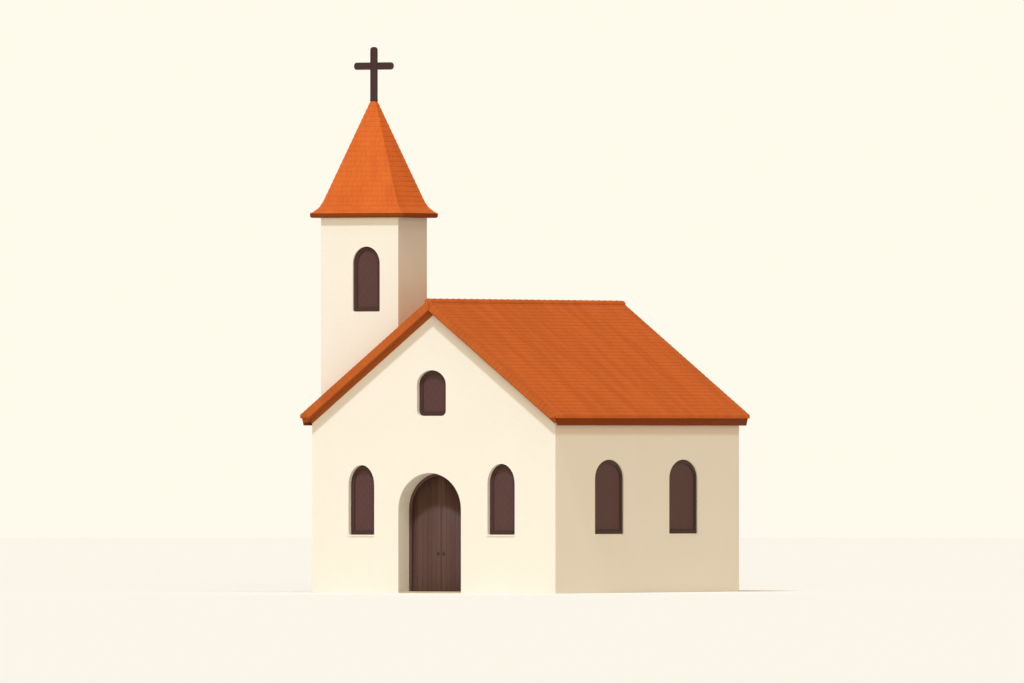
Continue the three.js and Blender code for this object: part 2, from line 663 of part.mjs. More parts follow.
function hingeStrap(side, z) {
  const x = side * HINGE_OFFSET;
  const rear = LEAF_SETBACK + LEAF_THICKNESS;
  const y0 = rear - HINGE_ROOT;
  const near = x - side * HINGE_ROOT;
  const strapEnd = x - side * STRAP_LENGTH;
  const neckEnd = x - side * NECK_LENGTH;
  const bottom = z + GAP;
  const top = bottom + KNUCKLE_HEIGHT;
  const low = bottom + (KNUCKLE_HEIGHT - STRAP_HEIGHT) / 2;
  const high = low + STRAP_HEIGHT;
  const strap = blockBetween(near, strapEnd, y0, rear + STRAP_THICKNESS, low, high);
  const neck = blockBetween(near, neckEnd, y0, HINGE_SETBACK - NECK_SETBACK, low, high);
  const knuckle = column(x, HINGE_SETBACK, KNUCKLE_RADIUS, bottom, top);
  const bore = column(x, HINGE_SETBACK, KNUCKLE_BORE, bottom - BEYOND, top + BEYOND);
  return knuckle.add(neck).add(strap).subtract(bore);
}

function doorLeaf(name, side) {
  const y1 = LEAF_SETBACK + LEAF_THICKNESS;
  const arch = prism(doorOutline(LEAF_RADIUS, LEAF_BOTTOM), LEAF_SETBACK, y1);
  const near = side * LEAF_MEETING_GAP;
  const far = side * (LEAF_RADIUS + BEYOND);
  const half = blockBetween(near, far, 0, y1 + BEYOND, 0, DOOR_SPRINGING * 2);
  let leaf = arch.intersect(half);
  for (const z of HINGE_HEIGHTS) leaf = leaf.add(hingeStrap(side, z));
  return piece(name, leaf, joinery);
}

function entrance() {
  const group = new THREE.Group();
  group.position.set(DOOR_X, FRONT_Y, 0);
  group.add(doorFrame(), doorLeaf("door_leaf_left", -1), doorLeaf("door_leaf_right", 1));
  return group;
}

const church = new THREE.Group();
church.add(nave(), tower(), entrance());

export default church;
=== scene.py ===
# %% [markdown]
# # A small plastered church
#
# The church's solids come from a CAD model that stays as it is: walls, roof slabs, window
# units, a spire and two door leaves that turn. This lesson gives them what the trades would:
# the plasterer's coat, the tiler's clay tiles laid course by course, the joiner's frames and
# planks, and the painter's stain. Lengths are in metres. The front gable faces -Y, and +X is
# to the right seen from the front.

import math

import bpy
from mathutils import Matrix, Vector


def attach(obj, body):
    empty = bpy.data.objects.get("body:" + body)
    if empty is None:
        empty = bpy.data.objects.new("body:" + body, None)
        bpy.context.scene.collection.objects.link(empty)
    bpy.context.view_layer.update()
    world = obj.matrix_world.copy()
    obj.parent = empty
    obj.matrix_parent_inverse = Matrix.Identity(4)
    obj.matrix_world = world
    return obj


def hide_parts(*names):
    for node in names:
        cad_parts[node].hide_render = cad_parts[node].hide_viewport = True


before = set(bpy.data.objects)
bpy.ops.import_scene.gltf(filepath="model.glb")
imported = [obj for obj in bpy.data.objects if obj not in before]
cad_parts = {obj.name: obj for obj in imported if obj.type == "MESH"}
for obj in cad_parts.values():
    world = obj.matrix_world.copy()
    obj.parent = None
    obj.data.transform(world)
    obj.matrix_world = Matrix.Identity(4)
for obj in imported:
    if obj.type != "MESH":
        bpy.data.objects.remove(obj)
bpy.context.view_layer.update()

# %% [markdown]
# ## The sizes that everything shares
#
# A roofer or joiner works to the mason's walls, so the lesson starts from the same numbers
# as the CAD model: the pitch of the roof, the faces of the walls and the middle of the tower.
# JOINT is the hairline that the CAD model leaves between its pieces, and SLIT is the one that
# the pieces of this lesson keep.

# %% Walls and roof
JOINT = 0.0003
SLIT = 0.0005
PITCH = math.radians(37.7)
HALF_WIDTH = 4.11
WALL_TOP = 5.1
FRONT_Y = -5.44
REAR_Y = 5.44
VERGE_FRONT_Y = -5.765
VERGE_REAR_Y = 5.690
VERGE_WIDTH = 0.045
TILE_END_X = 4.335
DECK_THICKNESS = 0.155
DECK_LIFT = JOINT + DECK_THICKNESS / math.cos(PITCH)
TILE_LIFT = DECK_LIFT + JOINT
TILE_LAYER = 0.070
RIDGE_Z = WALL_TOP + HALF_WIDTH * math.tan(PITCH)
print("ridge of the deck's underside at", round(RIDGE_Z, 3))

# %% Tower and the half sizes of its spire
TOWER_X, TOWER_Y, TOWER_TOP = -2.9245, -3.8847, 10.985
TOWER_RIGHT_X = -1.612
TOWER_FRONT_Y, TOWER_REAR_Y = -4.7197, -3.0497
SPIRE_HALF_X, SPIRE_HALF_Y = 1.582, 1.015
print("tower's middle at", TOWER_X, TOWER_Y)

# %% [markdown]
# ## A pair of hands
#
# Blender's operators act on whatever is selected, and a new primitive comes selected all
# over. So each helper first deselects everything, then picks what it needs by place or by
# normal. Every piece ends with its object at the origin and its place in its mesh, which
# keeps the patterns of the finishes still when a door turns.

# %% Picking, placing and copying
def pick(*pieces):
    """Selects only these pieces, with the first one active."""
    if bpy.context.mode != "OBJECT":
        bpy.ops.object.mode_set(mode="OBJECT")
    bpy.ops.object.select_all(action="DESELECT")
    for piece in pieces:
        piece.select_set(True)
    if pieces:
        bpy.context.view_layer.objects.active = pieces[0]


def settle(piece):
    """Writes a piece's place, turn and size into its mesh."""
    pick(piece)
    bpy.ops.object.transform_apply(location=True, rotation=True, scale=True)
    return piece


def put(piece, turn=(0, 0, 0), move=(0, 0, 0)):
    """Turns a piece about the origin by three angles, then moves it."""
    piece.rotation_euler = turn
    piece.location = move
    return settle(piece)


def block(name, low, high):
    """A box between two corners."""
    pick()
    middle = [(a + b) / 2 for a, b in zip(low, high)]
    size = [b - a for a, b in zip(low, high)]
    bpy.ops.mesh.primitive_cube_add(size=1, location=middle, scale=size)
    piece = bpy.context.object
    piece.name = name
    return settle(piece)


def twin(piece, name):
    """A copy with its own mesh."""
    pick(piece)
    bpy.ops.object.duplicate(linked=False)
    bpy.context.object.name = name
    return bpy.context.object


def join(name, pieces):
    """Makes one piece of several."""
    if len(pieces) > 1:
        pick(*pieces)
        bpy.ops.object.join()
    pieces[0].name = name
    return pieces[0]


print("hands ready: pick, settle, put, block, twin, join")

# %% Selecting, cutting and modifying
SHARP_OVER, SMOOTH_UP_TO = math.radians(40), math.radians(35)


def select_parts(piece, kind, wanted):
    """Enters edit mode with the VERT, EDGE or FACE parts selected that pass a test."""
    pick(piece)
    bpy.ops.object.mode_set(mode="EDIT")
    bpy.ops.mesh.select_mode(type=kind)
    bpy.ops.mesh.select_all(action="DESELECT")
    bpy.ops.object.mode_set(mode="OBJECT")
    mesh = piece.data
    if kind == "VERT":
        for vertex in mesh.vertices:
            vertex.select = wanted(vertex.co)
    elif kind == "EDGE":
        for edge in mesh.edges:
            a, b = (mesh.vertices[i].co for i in edge.vertices)
            edge.select = wanted((a + b) / 2, (b - a).normalized())
    else:
        for face in mesh.polygons:
            face.select = wanted(face.center, face.normal)
    bpy.ops.object.mode_set(mode="EDIT")


def cut(piece, point, normal, fill=True):
    """Cuts off what lies beyond a plane, on the side that its normal points to."""
    pick(piece)
    bpy.ops.object.mode_set(mode="EDIT")
    bpy.ops.mesh.select_all(action="SELECT")
    bpy.ops.mesh.bisect(
        plane_co=point, plane_no=normal, use_fill=fill, clear_outer=True
    )
    bpy.ops.object.mode_set(mode="OBJECT")
    return piece


def modify(piece, kind, **settings):
    """Adds a modifier with its settings and applies it."""
    pick(piece)
    modifier = piece.modifiers.new(kind, kind)
    for name, value in settings.items():
        setattr(modifier, name, value)
    bpy.ops.object.modifier_apply(modifier=modifier.name)
    return piece


def repeat(piece, step, count):
    """A row of copies in one mesh."""
    return modify(
        piece,
        "ARRAY",
        use_relative_offset=False,
        use_constant_offset=True,
        constant_offset_displace=step,
        count=count,
    )


def soften(piece, width, segments=2):
    """Rounds the sharp edges, as a plane or a brush would."""
    modify(
        piece,
        "BEVEL",
        width=width,
        segments=segments,
        limit_method="ANGLE",
        angle_limit=SHARP_OVER,
    )
    pick(piece)
    bpy.ops.object.shade_smooth_by_angle(angle=SMOOTH_UP_TO)
    return piece


def face_outwards(piece):
    """Turns every face outwards again after a mirror."""
    pick(piece)
    bpy.ops.object.mode_set(mode="EDIT")
    bpy.ops.mesh.select_all(action="SELECT")
    bpy.ops.mesh.normals_make_consistent(inside=False)
    bpy.ops.object.mode_set(mode="OBJECT")
    return piece


def mirrored(piece, name):
    """A mirror image across the middle of the nave."""
    copy = twin(piece, name)
    copy.scale = (-1, 1, 1)
    settle(copy)
    return face_outwards(copy)


print("tools ready: select_parts, cut, modify, repeat, soften, mirrored")

# %% A start from a CAD node
SAME_SPOT, FLAT_UP_TO = 1e-5, math.radians(1)


def merged_copy(node_name, name):
    """A copy of a CAD node's mesh with its loose triangles joined into whole faces."""
    copy = twin(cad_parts[node_name], name)
    pick(copy)
    bpy.ops.object.mode_set(mode="EDIT")
    bpy.ops.mesh.select_all(action="SELECT")
    bpy.ops.mesh.remove_doubles(threshold=SAME_SPOT)
    bpy.ops.mesh.dissolve_limited(angle_limit=FLAT_UP_TO)
    bpy.ops.object.mode_set(mode="OBJECT")
    return copy


print("merged_copy() ready")

# %% Handing a piece over to the frame
def dress(piece, material, body="building", stands_for=()):
    """Paints a piece, hangs it on the body it rides on and hides the CAD nodes that it stands
    for.
    """
    piece.data.materials.clear()
    piece.data.materials.append(material)
    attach(piece, body)
    if stands_for:
        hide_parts(*stands_for)
    return piece


def paint_nodes(material, *names):
    """Gives CAD nodes that keep their shape a better finish."""
    for name in names:
        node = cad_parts[name]
        for place in node.material_slots:
            place.material = material


print("dress() and paint_nodes() ready")

# %% [markdown]
# ## Finishes
#
# Each finish starts from a real material: its common name, how its surface was made, and the
# size of its pattern in millimetres. A pattern's scale counts the marks in a metre, so it is
# worked out from that size. Colours are written as sRGB hex codes and turned to the linear
# values that shaders work in. One small function adds any node. Some inputs go by number: a
# Mix of colours has its share at 0 and its two colours at 6 and 7, and a Map Range has its
# value at 0, the range it comes from at 1 and 2 and the one it goes to at 3 and 4.

# %% Colours and nodes
def linear(code):
    """An sRGB hex code as linear red, green, blue and alpha."""
    parts = [int(code[i : i + 2], 16) / 255 for i in (1, 3, 5)]
    return [p / 12.92 if p <= 0.04045 else ((p + 0.055) / 1.055) ** 2.4 for p in parts] + [1]


def per_metre(millimetres):
    """How many marks of this size fit in a metre."""
    return 1000 / millimetres


def add_node(tree, kind, inputs=None, **settings):
    """Adds a node with its settings; an input is given a value, or another node's output."""
    made = tree.nodes.new(kind)
    for name, value in settings.items():
        setattr(made, name, value)
    for key, value in (inputs or {}).items():
        if isinstance(value, bpy.types.NodeSocket):
            tree.links.new(value, made.inputs[key])
        else:
            made.inputs[key].default_value = value
    return made


def new_finish(name, roughness):
    """An empty finish: the material, its node tree, its shader and the place on the object."""
    material = bpy.data.materials.new(name)
    material.use_nodes = True
    tree = material.node_tree
    shader = tree.nodes["Principled BSDF"]
    shader.inputs["Roughness"].default_value = roughness
    place = add_node(tree, "ShaderNodeTexCoord").outputs["Object"]
    return material, tree, shader, place


print("sample: #C9612B is", [round(v, 3) for v in linear("#C9612B")])

# %% [markdown]
# ### Lime plaster
#
# The walls carry a lime plaster laid on with a wooden float and washed with cream limewash.
# The float leaves shallow waves a hand wide, 125 mm, and the sand a grit of 2 mm, drawn at
# 8 mm so that it shows. The wash dries in faint clouds 1.5 m across. The eye gets a matt, warm,
# almost even wall. A flat colour would look like card, so three noises share the work: one for
# the clouds and two for the relief.
#
# The faces that look to the sides are painted a tone browner right under an eave. This is painted
# shade, standing in for the eave's shadow: over the last 0.3 m under the nave's eaves, and fading
# in over 2.3 m under the spire. A gradient over the height does that, times the part of the
# normal that points sideways, so the front and the rear stay unshaded. Each painted shade is
# written as its tone and the two heights, in metres, between which it comes in.

# %% Lime plaster
CLOUD_MM, FLOAT_WAVE_MM, SAND_MM = 1500, 125, 8


def lime_plaster(name, light, shade, painted_shade=None):
    """A floated plaster with limewash in two close tones; painted_shade is a colour and two
    heights of painted shade.
    """
    material, tree, shader, place = new_finish(name, 0.92)
    clouds = add_node(
        tree,
        "ShaderNodeTexNoise",
        {"Vector": place, "Scale": per_metre(CLOUD_MM), "Detail": 4.0},
    )
    tone = add_node(
        tree,
        "ShaderNodeMix",
        {0: clouds.outputs["Fac"], 6: linear(light), 7: linear(shade)},
        data_type="RGBA",
    )
    # Painted shade: the faces that look sideways turn browner under the eave, where its shadow
    # falls.
    if painted_shade:
        painted_shade_tone, unshaded_up_to, fully_shaded_from = painted_shade
        axes = add_node(tree, "ShaderNodeSeparateXYZ", {0: place})
        height = add_node(
            tree,
            "ShaderNodeMapRange",
            {0: axes.outputs[2], 1: unshaded_up_to, 2: fully_shaded_from, 3: 0.0, 4: 1.0},
        )
        surface = add_node(tree, "ShaderNodeNewGeometry")
        facing = add_node(tree, "ShaderNodeSeparateXYZ", {0: surface.outputs["True Normal"]})
        sideways = add_node(
            tree, "ShaderNodeMath", {0: facing.outputs[0]}, operation="ABSOLUTE"
        )
        painted_shade_mask = add_node(
            tree,
            "ShaderNodeMath",
            {0: height.outputs[0], 1: sideways.outputs[0]},
            operation="MULTIPLY",
        )
        tone = add_node(
            tree,
            "ShaderNodeMix",
            {0: painted_shade_mask.outputs[0], 6: tone.outputs[2], 7: linear(painted_shade_tone)},
            data_type="RGBA",
        )
    float_waves = add_node(
        tree,
        "ShaderNodeTexNoise",
        {"Vector": place, "Scale": per_metre(FLOAT_WAVE_MM), "Detail": 2.0},
    )
    sand = add_node(
        tree,
        "ShaderNodeTexNoise",
        {"Vector": place, "Scale": per_metre(SAND_MM), "Detail": 1.0},
    )
    waves = add_node(
        tree,
        "ShaderNodeBump",
        {"Strength": 0.4, "Distance": 0.010, "Height": float_waves.outputs["Fac"]},
    )
    relief = add_node(
        tree,
        "ShaderNodeBump",
        {
            "Strength": 0.5,
            "Distance": 0.0015,
            "Height": sand.outputs["Fac"],
            "Normal": waves.outputs["Normal"],
        },
    )
    tree.links.new(tone.outputs[2], shader.inputs["Base Color"])
    tree.links.new(relief.outputs["Normal"], shader.inputs["Normal"])
    shader.inputs["Specular IOR Level"].default_value = 0.2
    return material


LIMEWASH = ("#E8DDCC", "#E4D9C7")
# Painted shade under the nave's eaves and under the spire: a tone, and the two heights between
# which it comes in.
EAVE_PAINTED_SHADE = ("#DDC9B3", 4.58, 4.68)
SPIRE_PAINTED_SHADE = ("#CBBEAD", 8.4, 10.7)
plaster = lime_plaster("lime_plaster_floated", *LIMEWASH)
eave_shaded_plaster = lime_plaster("lime_plaster_eave_shade_painted", *LIMEWASH, EAVE_PAINTED_SHADE)
spire_shaded_plaster = lime_plaster("lime_plaster_spire_shade_painted", *LIMEWASH, SPIRE_PAINTED_SHADE)
UNSHADED_WALLS = ["front_wall_over_door", "front_gable", "door_pier_left", "door_pier_right"]
EAVE_WALLS = ["front_wall_left", "front_wall_right", "rear_wall", "right_wall", "left_wall"]
TOWER_WALLS = ["tower_" + side + "_wall" for side in ("front", "rear", "left", "right")]
paint_nodes(plaster, *UNSHADED_WALLS)
paint_nodes(eave_shaded_plaster, *EAVE_WALLS)
paint_nodes(spire_shaded_plaster, *TOWER_WALLS)
print("plastered walls:", len(UNSHADED_WALLS + EAVE_WALLS + TOWER_WALLS))

# %% [markdown]
# ### Sandstone
#
# The floor and the threshold are sawn sandstone. Its beds show as soft patches 330 mm across,
# and its grain of about 1 mm is drawn at 10 mm. Feet polish it, so it is a little smoother than
# the plaster.

# %% Sawn sandstone
BED_MM, STONE_GRAIN_MM = 330, 10


def sawn_sandstone(name, light, shade):
    """A warm grey stone with soft beds."""
    material, tree, shader, place = new_finish(name, 0.75)
    beds = add_node(
        tree,
        "ShaderNodeTexNoise",
        {"Vector": place, "Scale": per_metre(BED_MM), "Detail": 6.0},
    )
    tone = add_node(
        tree,
        "ShaderNodeMix",
        {0: beds.outputs["Fac"], 6: linear(light), 7: linear(shade)},
        data_type="RGBA",
    )
    grain = add_node(
        tree,
        "ShaderNodeTexNoise",
        {"Vector": place, "Scale": per_metre(STONE_GRAIN_MM), "Detail": 2.0},
    )
    relief = add_node(
        tree,
        "ShaderNodeBump",
        {"Strength": 0.3, "Distance": 0.002, "Height": grain.outputs["Fac"]},
    )
    tree.links.new(tone.outputs[2], shader.inputs["Base Color"])
    tree.links.new(relief.outputs["Normal"], shader.inputs["Normal"])
    return material


sandstone = sawn_sandstone("sandstone_sawn", "#C4B08F", "#A9946F")
paint_nodes(sandstone, "floor_slab", "door_threshold")
print("stone floors painted")

# %% [markdown]
# ### Stained timber
#
# The boards under the roof and the fascias are sawn softwood with a red-brown stain. The stain
# sinks in along the grain, so the streaks follow each board, 25 to 50 mm wide. The soffit is
# boarded: a joint every 120 mm shows as a fine line. The four finishes come from one function,
# which is told the size of a streak along each axis and the axis that the joints cross. A wave
# texture turns by 20 radians in a metre at scale 1, and the lowest part of each wave is a joint.

# %% Stained softwood
BOARD_WIDTH = 0.12
WAVE_RADIANS = 20
GROOVE_LEVEL = 0.06


def stained_softwood(name, light, shade, streak_mm, boards=None):
    """Stain along the grain, with board joints across one axis where boards is given."""
    material, tree, shader, place = new_finish(name, 0.62)
    stretched = add_node(
        tree,
        "ShaderNodeVectorMath",
        {0: place, 1: [per_metre(size) for size in streak_mm]},
        operation="MULTIPLY",
    )
    streaks = add_node(
        tree,
        "ShaderNodeTexNoise",
        {"Vector": stretched.outputs[0], "Scale": 1.0, "Detail": 5.0},
    )
    tone = add_node(
        tree,
        "ShaderNodeMix",
        {0: streaks.outputs["Fac"], 6: linear(light), 7: linear(shade)},
        data_type="RGBA",
    )
    relief = add_node(
        tree,
        "ShaderNodeBump",
        {"Strength": 0.2, "Distance": 0.002, "Height": streaks.outputs["Fac"]},
    )
    if boards:
        joints = add_node(
            tree,
            "ShaderNodeTexWave",
            {"Vector": place, "Scale": 2 * math.pi / (WAVE_RADIANS * BOARD_WIDTH)},
            wave_type="BANDS",
            bands_direction=boards,
            wave_profile="SIN",
        )
        groove = add_node(
            tree,
            "ShaderNodeMapRange",
            {0: joints.outputs["Fac"], 1: 0.0, 2: GROOVE_LEVEL, 3: 0.0, 4: 1.0},
        )
        relief = add_node(
            tree,
            "ShaderNodeBump",
            {
                "Strength": 0.6,
                "Distance": 0.004,
                "Height": groove.outputs[0],
                "Normal": relief.outputs["Normal"],
            },
        )
    tree.links.new(tone.outputs[2], shader.inputs["Base Color"])
    tree.links.new(relief.outputs["Normal"], shader.inputs["Normal"])
    shader.inputs["Specular IOR Level"].default_value = 0.05
    return material


soffit = stained_softwood(
    "softwood_soffit_boards", "#A45225", "#984A1F", (330, 33, 330), boards="Y"
)
fascia = stained_softwood(
    "softwood_fascia_stained", "#7D380E", "#71310B", (33, 500, 33)
)
eave_board = stained_softwood(
    "softwood_spire_eave_stained", "#823E10", "#763710", (500, 500, 25)
)
paint_nodes(soffit, "roof_deck_left", "roof_deck_right", "ridge_beam")
barge = stained_softwood(
    "softwood_barge_board_stained", "#A45727", "#984F23", (330, 50, 330)
)
paint_nodes(
    barge,
    "gable_board_front_left",
    "gable_board_front_right",
    "gable_board_rear_left",
    "gable_board_rear_right",
)
print("eave timber stained")

# %% [markdown]
# ### The edges of the eaves
#
# The fascias are boards on edge, and a carpenter takes the bottom corner off their ends with a
# slanting cut, so that no sharp point hangs over the gable. The spire's eave board has its
# lower edge rounded off like a moulding. Both start as merged copies of their CAD nodes.

# %% Fascias with slanting ends
END_CUT_Z, END_CUT_DROP, END_CUT_BACK = 5.13, 0.233, 0.10
FRONT_END = (VERGE_FRONT_Y + VERGE_WIDTH + JOINT, -1)
REAR_END = (VERGE_REAR_Y - VERGE_WIDTH - JOINT, 1)
ENDS = {
    "fascia_right": (FRONT_END, REAR_END),
    "fascia_left_front": (FRONT_END,),
    "fascia_left_rear": (REAR_END,),
}
for node_name, ends in ENDS.items():
    board = merged_copy(node_name, node_name + "_board")
    for y, way in ends:
        cut(board, (0, y, END_CUT_Z), (0, way * END_CUT_DROP, -END_CUT_BACK))
    soften(board, 0.005)
    dress(board, fascia, stands_for=[node_name])
    print(board.name, "faces:", len(board.data.polygons))

# %% The spire's eave board
cornice = merged_copy("spire_eave_frame", "spire_eave_cornice")
CORNICE_ROUND = 0.055


def on_lower_rim(middle, way):
    """Whether an edge runs round the outside of the eave board's underside."""
    off_x = abs(abs(middle.x - TOWER_X) - SPIRE_HALF_X)
    off_y = abs(abs(middle.y - TOWER_Y) - SPIRE_HALF_Y)
    return min(off_x, off_y) < 0.002 and middle.z < TOWER_TOP + 0.01


select_parts(cornice, "EDGE", on_lower_rim)
bpy.ops.mesh.bevel(offset=CORNICE_ROUND, segments=4, affect="EDGES")
bpy.ops.object.mode_set(mode="OBJECT")
soften(cornice, 0.005)
dress(cornice, eave_board, stands_for=["spire_eave_frame"])
print(cornice.name, "faces:", len(cornice.data.polygons))

# %% [markdown]
# ### Clay tiles
#
# The tiles are plain flat clay tiles, pressed, fired and left unglazed. Each comes out of the
# kiln a shade lighter or darker than the next, and rain draws soft darker streaks down the
# slope, 420 mm wide and 2.5 m long. The lower edges, which look down into shade, are painted
# brighter: a painted highlight. The clay's grit of about 1 mm is drawn at 17 mm. From afar the
# roof reads as one warm orange plane, so all of this stays within a few per cent. A random value
# per tile gives the kiln's shades, a noise stretched down the slope gives the streaks, and the
# way a face looks tells the edges for the painted highlight apart: they are the only ones that
# look down.

# %% Fired clay
CLAY_GRIT_MM = 17
DRY_UP_TO, WET_FROM = 0.42, 0.62
DOWN_FROM, DOWN_FULLY = -0.25, -0.5
KILN_DARKEST, KILN_LIGHTEST = 0.97, 1.03


def fired_clay(name, code, dark, edge, streak_mm):
    """Unglazed clay: a shade for each tile, streaks down the slope and a painted highlight on the
    lower edges.
    """
    material, tree, shader, place = new_finish(name, 0.85)
    surface = add_node(tree, "ShaderNodeNewGeometry")
    stretched = add_node(
        tree,
        "ShaderNodeVectorMath",
        {0: place, 1: [per_metre(size) for size in streak_mm]},
        operation="MULTIPLY",
    )
    streaks = add_node(
        tree,
        "ShaderNodeTexNoise",
        {"Vector": stretched.outputs[0], "Scale": 1.0, "Detail": 3.0},
    )
    wet = add_node(
        tree,
        "ShaderNodeMapRange",
        {0: streaks.outputs["Fac"], 1: DRY_UP_TO, 2: WET_FROM, 3: 0.0, 4: 1.0},
    )
    weather = add_node(
        tree,
        "ShaderNodeMix",
        {0: wet.outputs[0], 6: linear(code), 7: linear(dark)},
        data_type="RGBA",
    )
    # Painted highlight: faces that look down, the tile ends in shade, take the bright edge
    # colour.
    faces = add_node(tree, "ShaderNodeSeparateXYZ", {0: surface.outputs["Normal"]})
    painted_highlight_mask = add_node(
        tree,
        "ShaderNodeMapRange",
        {0: faces.outputs[2], 1: DOWN_FROM, 2: DOWN_FULLY, 3: 0.0, 4: 1.0},
    )
    with_painted_highlight = add_node(
        tree,
        "ShaderNodeMix",
        {0: painted_highlight_mask.outputs[0], 6: weather.outputs[2], 7: linear(edge)},
        data_type="RGBA",
    )
    kiln = surface.outputs["Random Per Island"]
    shade = add_node(
        tree,
        "ShaderNodeMapRange",
        {0: kiln, 1: 0.0, 2: 1.0, 3: KILN_DARKEST, 4: KILN_LIGHTEST},
    )
    toned = add_node(
        tree,
        "ShaderNodeVectorMath",
        {0: with_painted_highlight.outputs[2], "Scale": shade.outputs[0]},
        operation="SCALE",
    )
    grit = add_node(
        tree,
        "ShaderNodeTexNoise",
        {"Vector": place, "Scale": per_metre(CLAY_GRIT_MM), "Detail": 3.0},
    )
    relief = add_node(
        tree,
        "ShaderNodeBump",
        {"Strength": 0.25, "Distance": 0.002, "Height": grit.outputs["Fac"]},
    )
    tree.links.new(toned.outputs[0], shader.inputs["Base Color"])
    tree.links.new(relief.outputs["Normal"], shader.inputs["Normal"])
    shader.inputs["Specular IOR Level"].default_value = 0.1
    return material


NAVE_STREAK_MM = (2500, 420, 2500)
VERGE_STREAK_MM = (1000, 1000, 1000)
SPIRE_STREAK_MM = (420, 420, 2500)
# The third colour of each clay is the painted highlight on the tile ends that look down.
nave_clay = fired_clay("clay_tile_nave", "#C56028", "#BC5B24", "#E67B3A", NAVE_STREAK_MM)
# The verge clay is the nave's clay painted a tone darker: painted shade that offsets the stronger
# light on the verge tiles' upright faces.
verge_clay_painted_shade = fired_clay("clay_tile_verge_painted_shade", "#B65A24", "#AD5421", "#B65A24", VERGE_STREAK_MM)
spire_clay = fired_clay("clay_tile_spire", "#CC6327", "#C75E25", "#E87C3C", SPIRE_STREAK_MM)
mortar = lime_plaster("lime_mortar_tinted", "#BE6637", "#AE5A2E")
print("clay and mortar mixed")

# %% [markdown]
# ## Camera
#
# The drawing shows the church almost without perspective: its verticals and levels stay
# parallel. A very long lens far away does the same, 30 degrees to the right of the front and
# 4.3 m above the ground. The floor is seen nearly edge on.

# %% The camera
def towards(azimuth, elevation):
    """A direction from the church: azimuth 0 is its front, 90 its right."""
    a, e = math.radians(azimuth), math.radians(elevation)
    return Vector((math.sin(a) * math.cos(e), -math.cos(a) * math.cos(e), math.sin(e)))


AIM = Vector((-0.369, -0.213, 7.37))
CAMERA_AZIMUTH, CAMERA_DISTANCE, CAMERA_HEIGHT = 30, 669.3, 4.3
pick()
bpy.ops.object.camera_add()
camera = bpy.context.object
camera.name = "camera"
camera.data.lens = 800
camera.data.sensor_width = 36
camera.data.clip_end = 2000
camera.location = AIM + towards(CAMERA_AZIMUTH, 0) * CAMERA_DISTANCE
camera.location.z = CAMERA_HEIGHT
camera.rotation_euler = (AIM - camera.location).to_track_quat("-Z", "Y").to_euler()
bpy.context.scene.camera = camera
print("camera at", [round(v, 1) for v in camera.location])

# %% [markdown]
# ## Light, floor and background
#
# The drawing is lit from the front and high up: the eaves throw a band of shade on the walls,
# and the right side is a tone darker and warmer. One soft sun does that. A weak one from the
# right gives the side wall its own band under the eave, which painted shade in the plaster makes
# darker. A broad light near the ground, as from a pale square before the church, reaches into the
# doorway and under the eaves. The ambient light is warm. A pale floor and a cream background
# close the picture.

# %% Suns
def sun(name, azimuth, elevation, strength, colour, softness):
    """A sun lamp that shines from a direction."""
    pick()
    bpy.ops.object.light_add(type="SUN")
    lamp = bpy.context.object
    lamp.name = name
    lamp.data.energy = strength
    lamp.data.color = colour
    lamp.data.angle = math.radians(softness)
    lamp.rotation_euler = (-towards(azimuth, elevation)).to_track_quat("-Z", "Y").to_euler()
    print(name, "strength", strength)


sun("key_sun", 4, 56, 2.77, (0.664, 0.808, 1.0), 5)
sun("side_sun", 64, 52, 0.30, (1.0, 0.9, 0.97), 10)
sun("low_fill", 35, 7, 1.0, (0.909, 1.0, 0.864), 30)

# %% World and floor
FLOOR_RADIUS, FLOOR_Z = 400, -0.001
BACKGROUND = linear("#FFFBEC")
AMBIENT = (0.458, 0.317, 0.176, 1)
world = bpy.data.worlds.new("cream_surround")
bpy.context.scene.world = world
world.use_nodes = True
tree = world.node_tree
seen = tree.nodes["Background"]
seen.inputs["Color"].default_value = BACKGROUND
lit = add_node(tree, "ShaderNodeBackground", {"Color": AMBIENT})
ray = add_node(tree, "ShaderNodeLightPath")
blend = add_node(
    tree,
    "ShaderNodeMixShader",
    {0: ray.outputs["Is Camera Ray"], 1: lit.outputs[0], 2: seen.outputs[0]},
)
tree.links.new(blend.outputs[0], tree.nodes["World Output"].inputs["Surface"])
pick()
bpy.ops.mesh.primitive_circle_add(
    vertices=128, radius=FLOOR_RADIUS, fill_type="NGON", location=(0, 0, FLOOR_Z)
)
floor = settle(bpy.context.object)
floor.name = "studio_floor"
pale = bpy.data.materials.new("pale_studio_floor")
pale.use_nodes = True
pale_shader = pale.node_tree.nodes["Principled BSDF"]
pale_shader.inputs["Base Color"].default_value = linear("#F6F4E8")
pale_shader.inputs["Roughness"].default_value = 1.0
pale_shader.inputs["Specular IOR Level"].default_value = 0.0
floor.data.materials.append(pale)
bpy.context.scene.view_settings.view_transform = "Standard"
print("floor and background ready")

# %% [markdown]
# ## The nave's tiles
#
# A plain tile is 230 mm long and nearly 180 mm wide, and 8 mm thick. Each course laps the
# one below, so 160 mm of each tile shows, and each course is shifted by half a tile. The
# tiles could be a bump pattern, but then the eaves and verges would be flat where real ones
# show their stepped ends. So one tile is modelled, two make a pair of courses, and the pair
# is repeated along and up the slope. It is laid flat first, then turned to the pitch.

# %% One tile
TILE_WIDTH, TILE_PITCH, TILE_LENGTH, TILE_THICKNESS = 0.1785, 0.180, 0.230, 0.008
TILE_ROUND = 0.0025
EXPOSURE = 0.160
LAP_RISE = TILE_THICKNESS + 0.001
TILE_TILT = math.atan(LAP_RISE / EXPOSURE)
SLOPE_END = (TILE_END_X - TILE_LAYER * math.sin(PITCH)) / math.cos(PITCH)


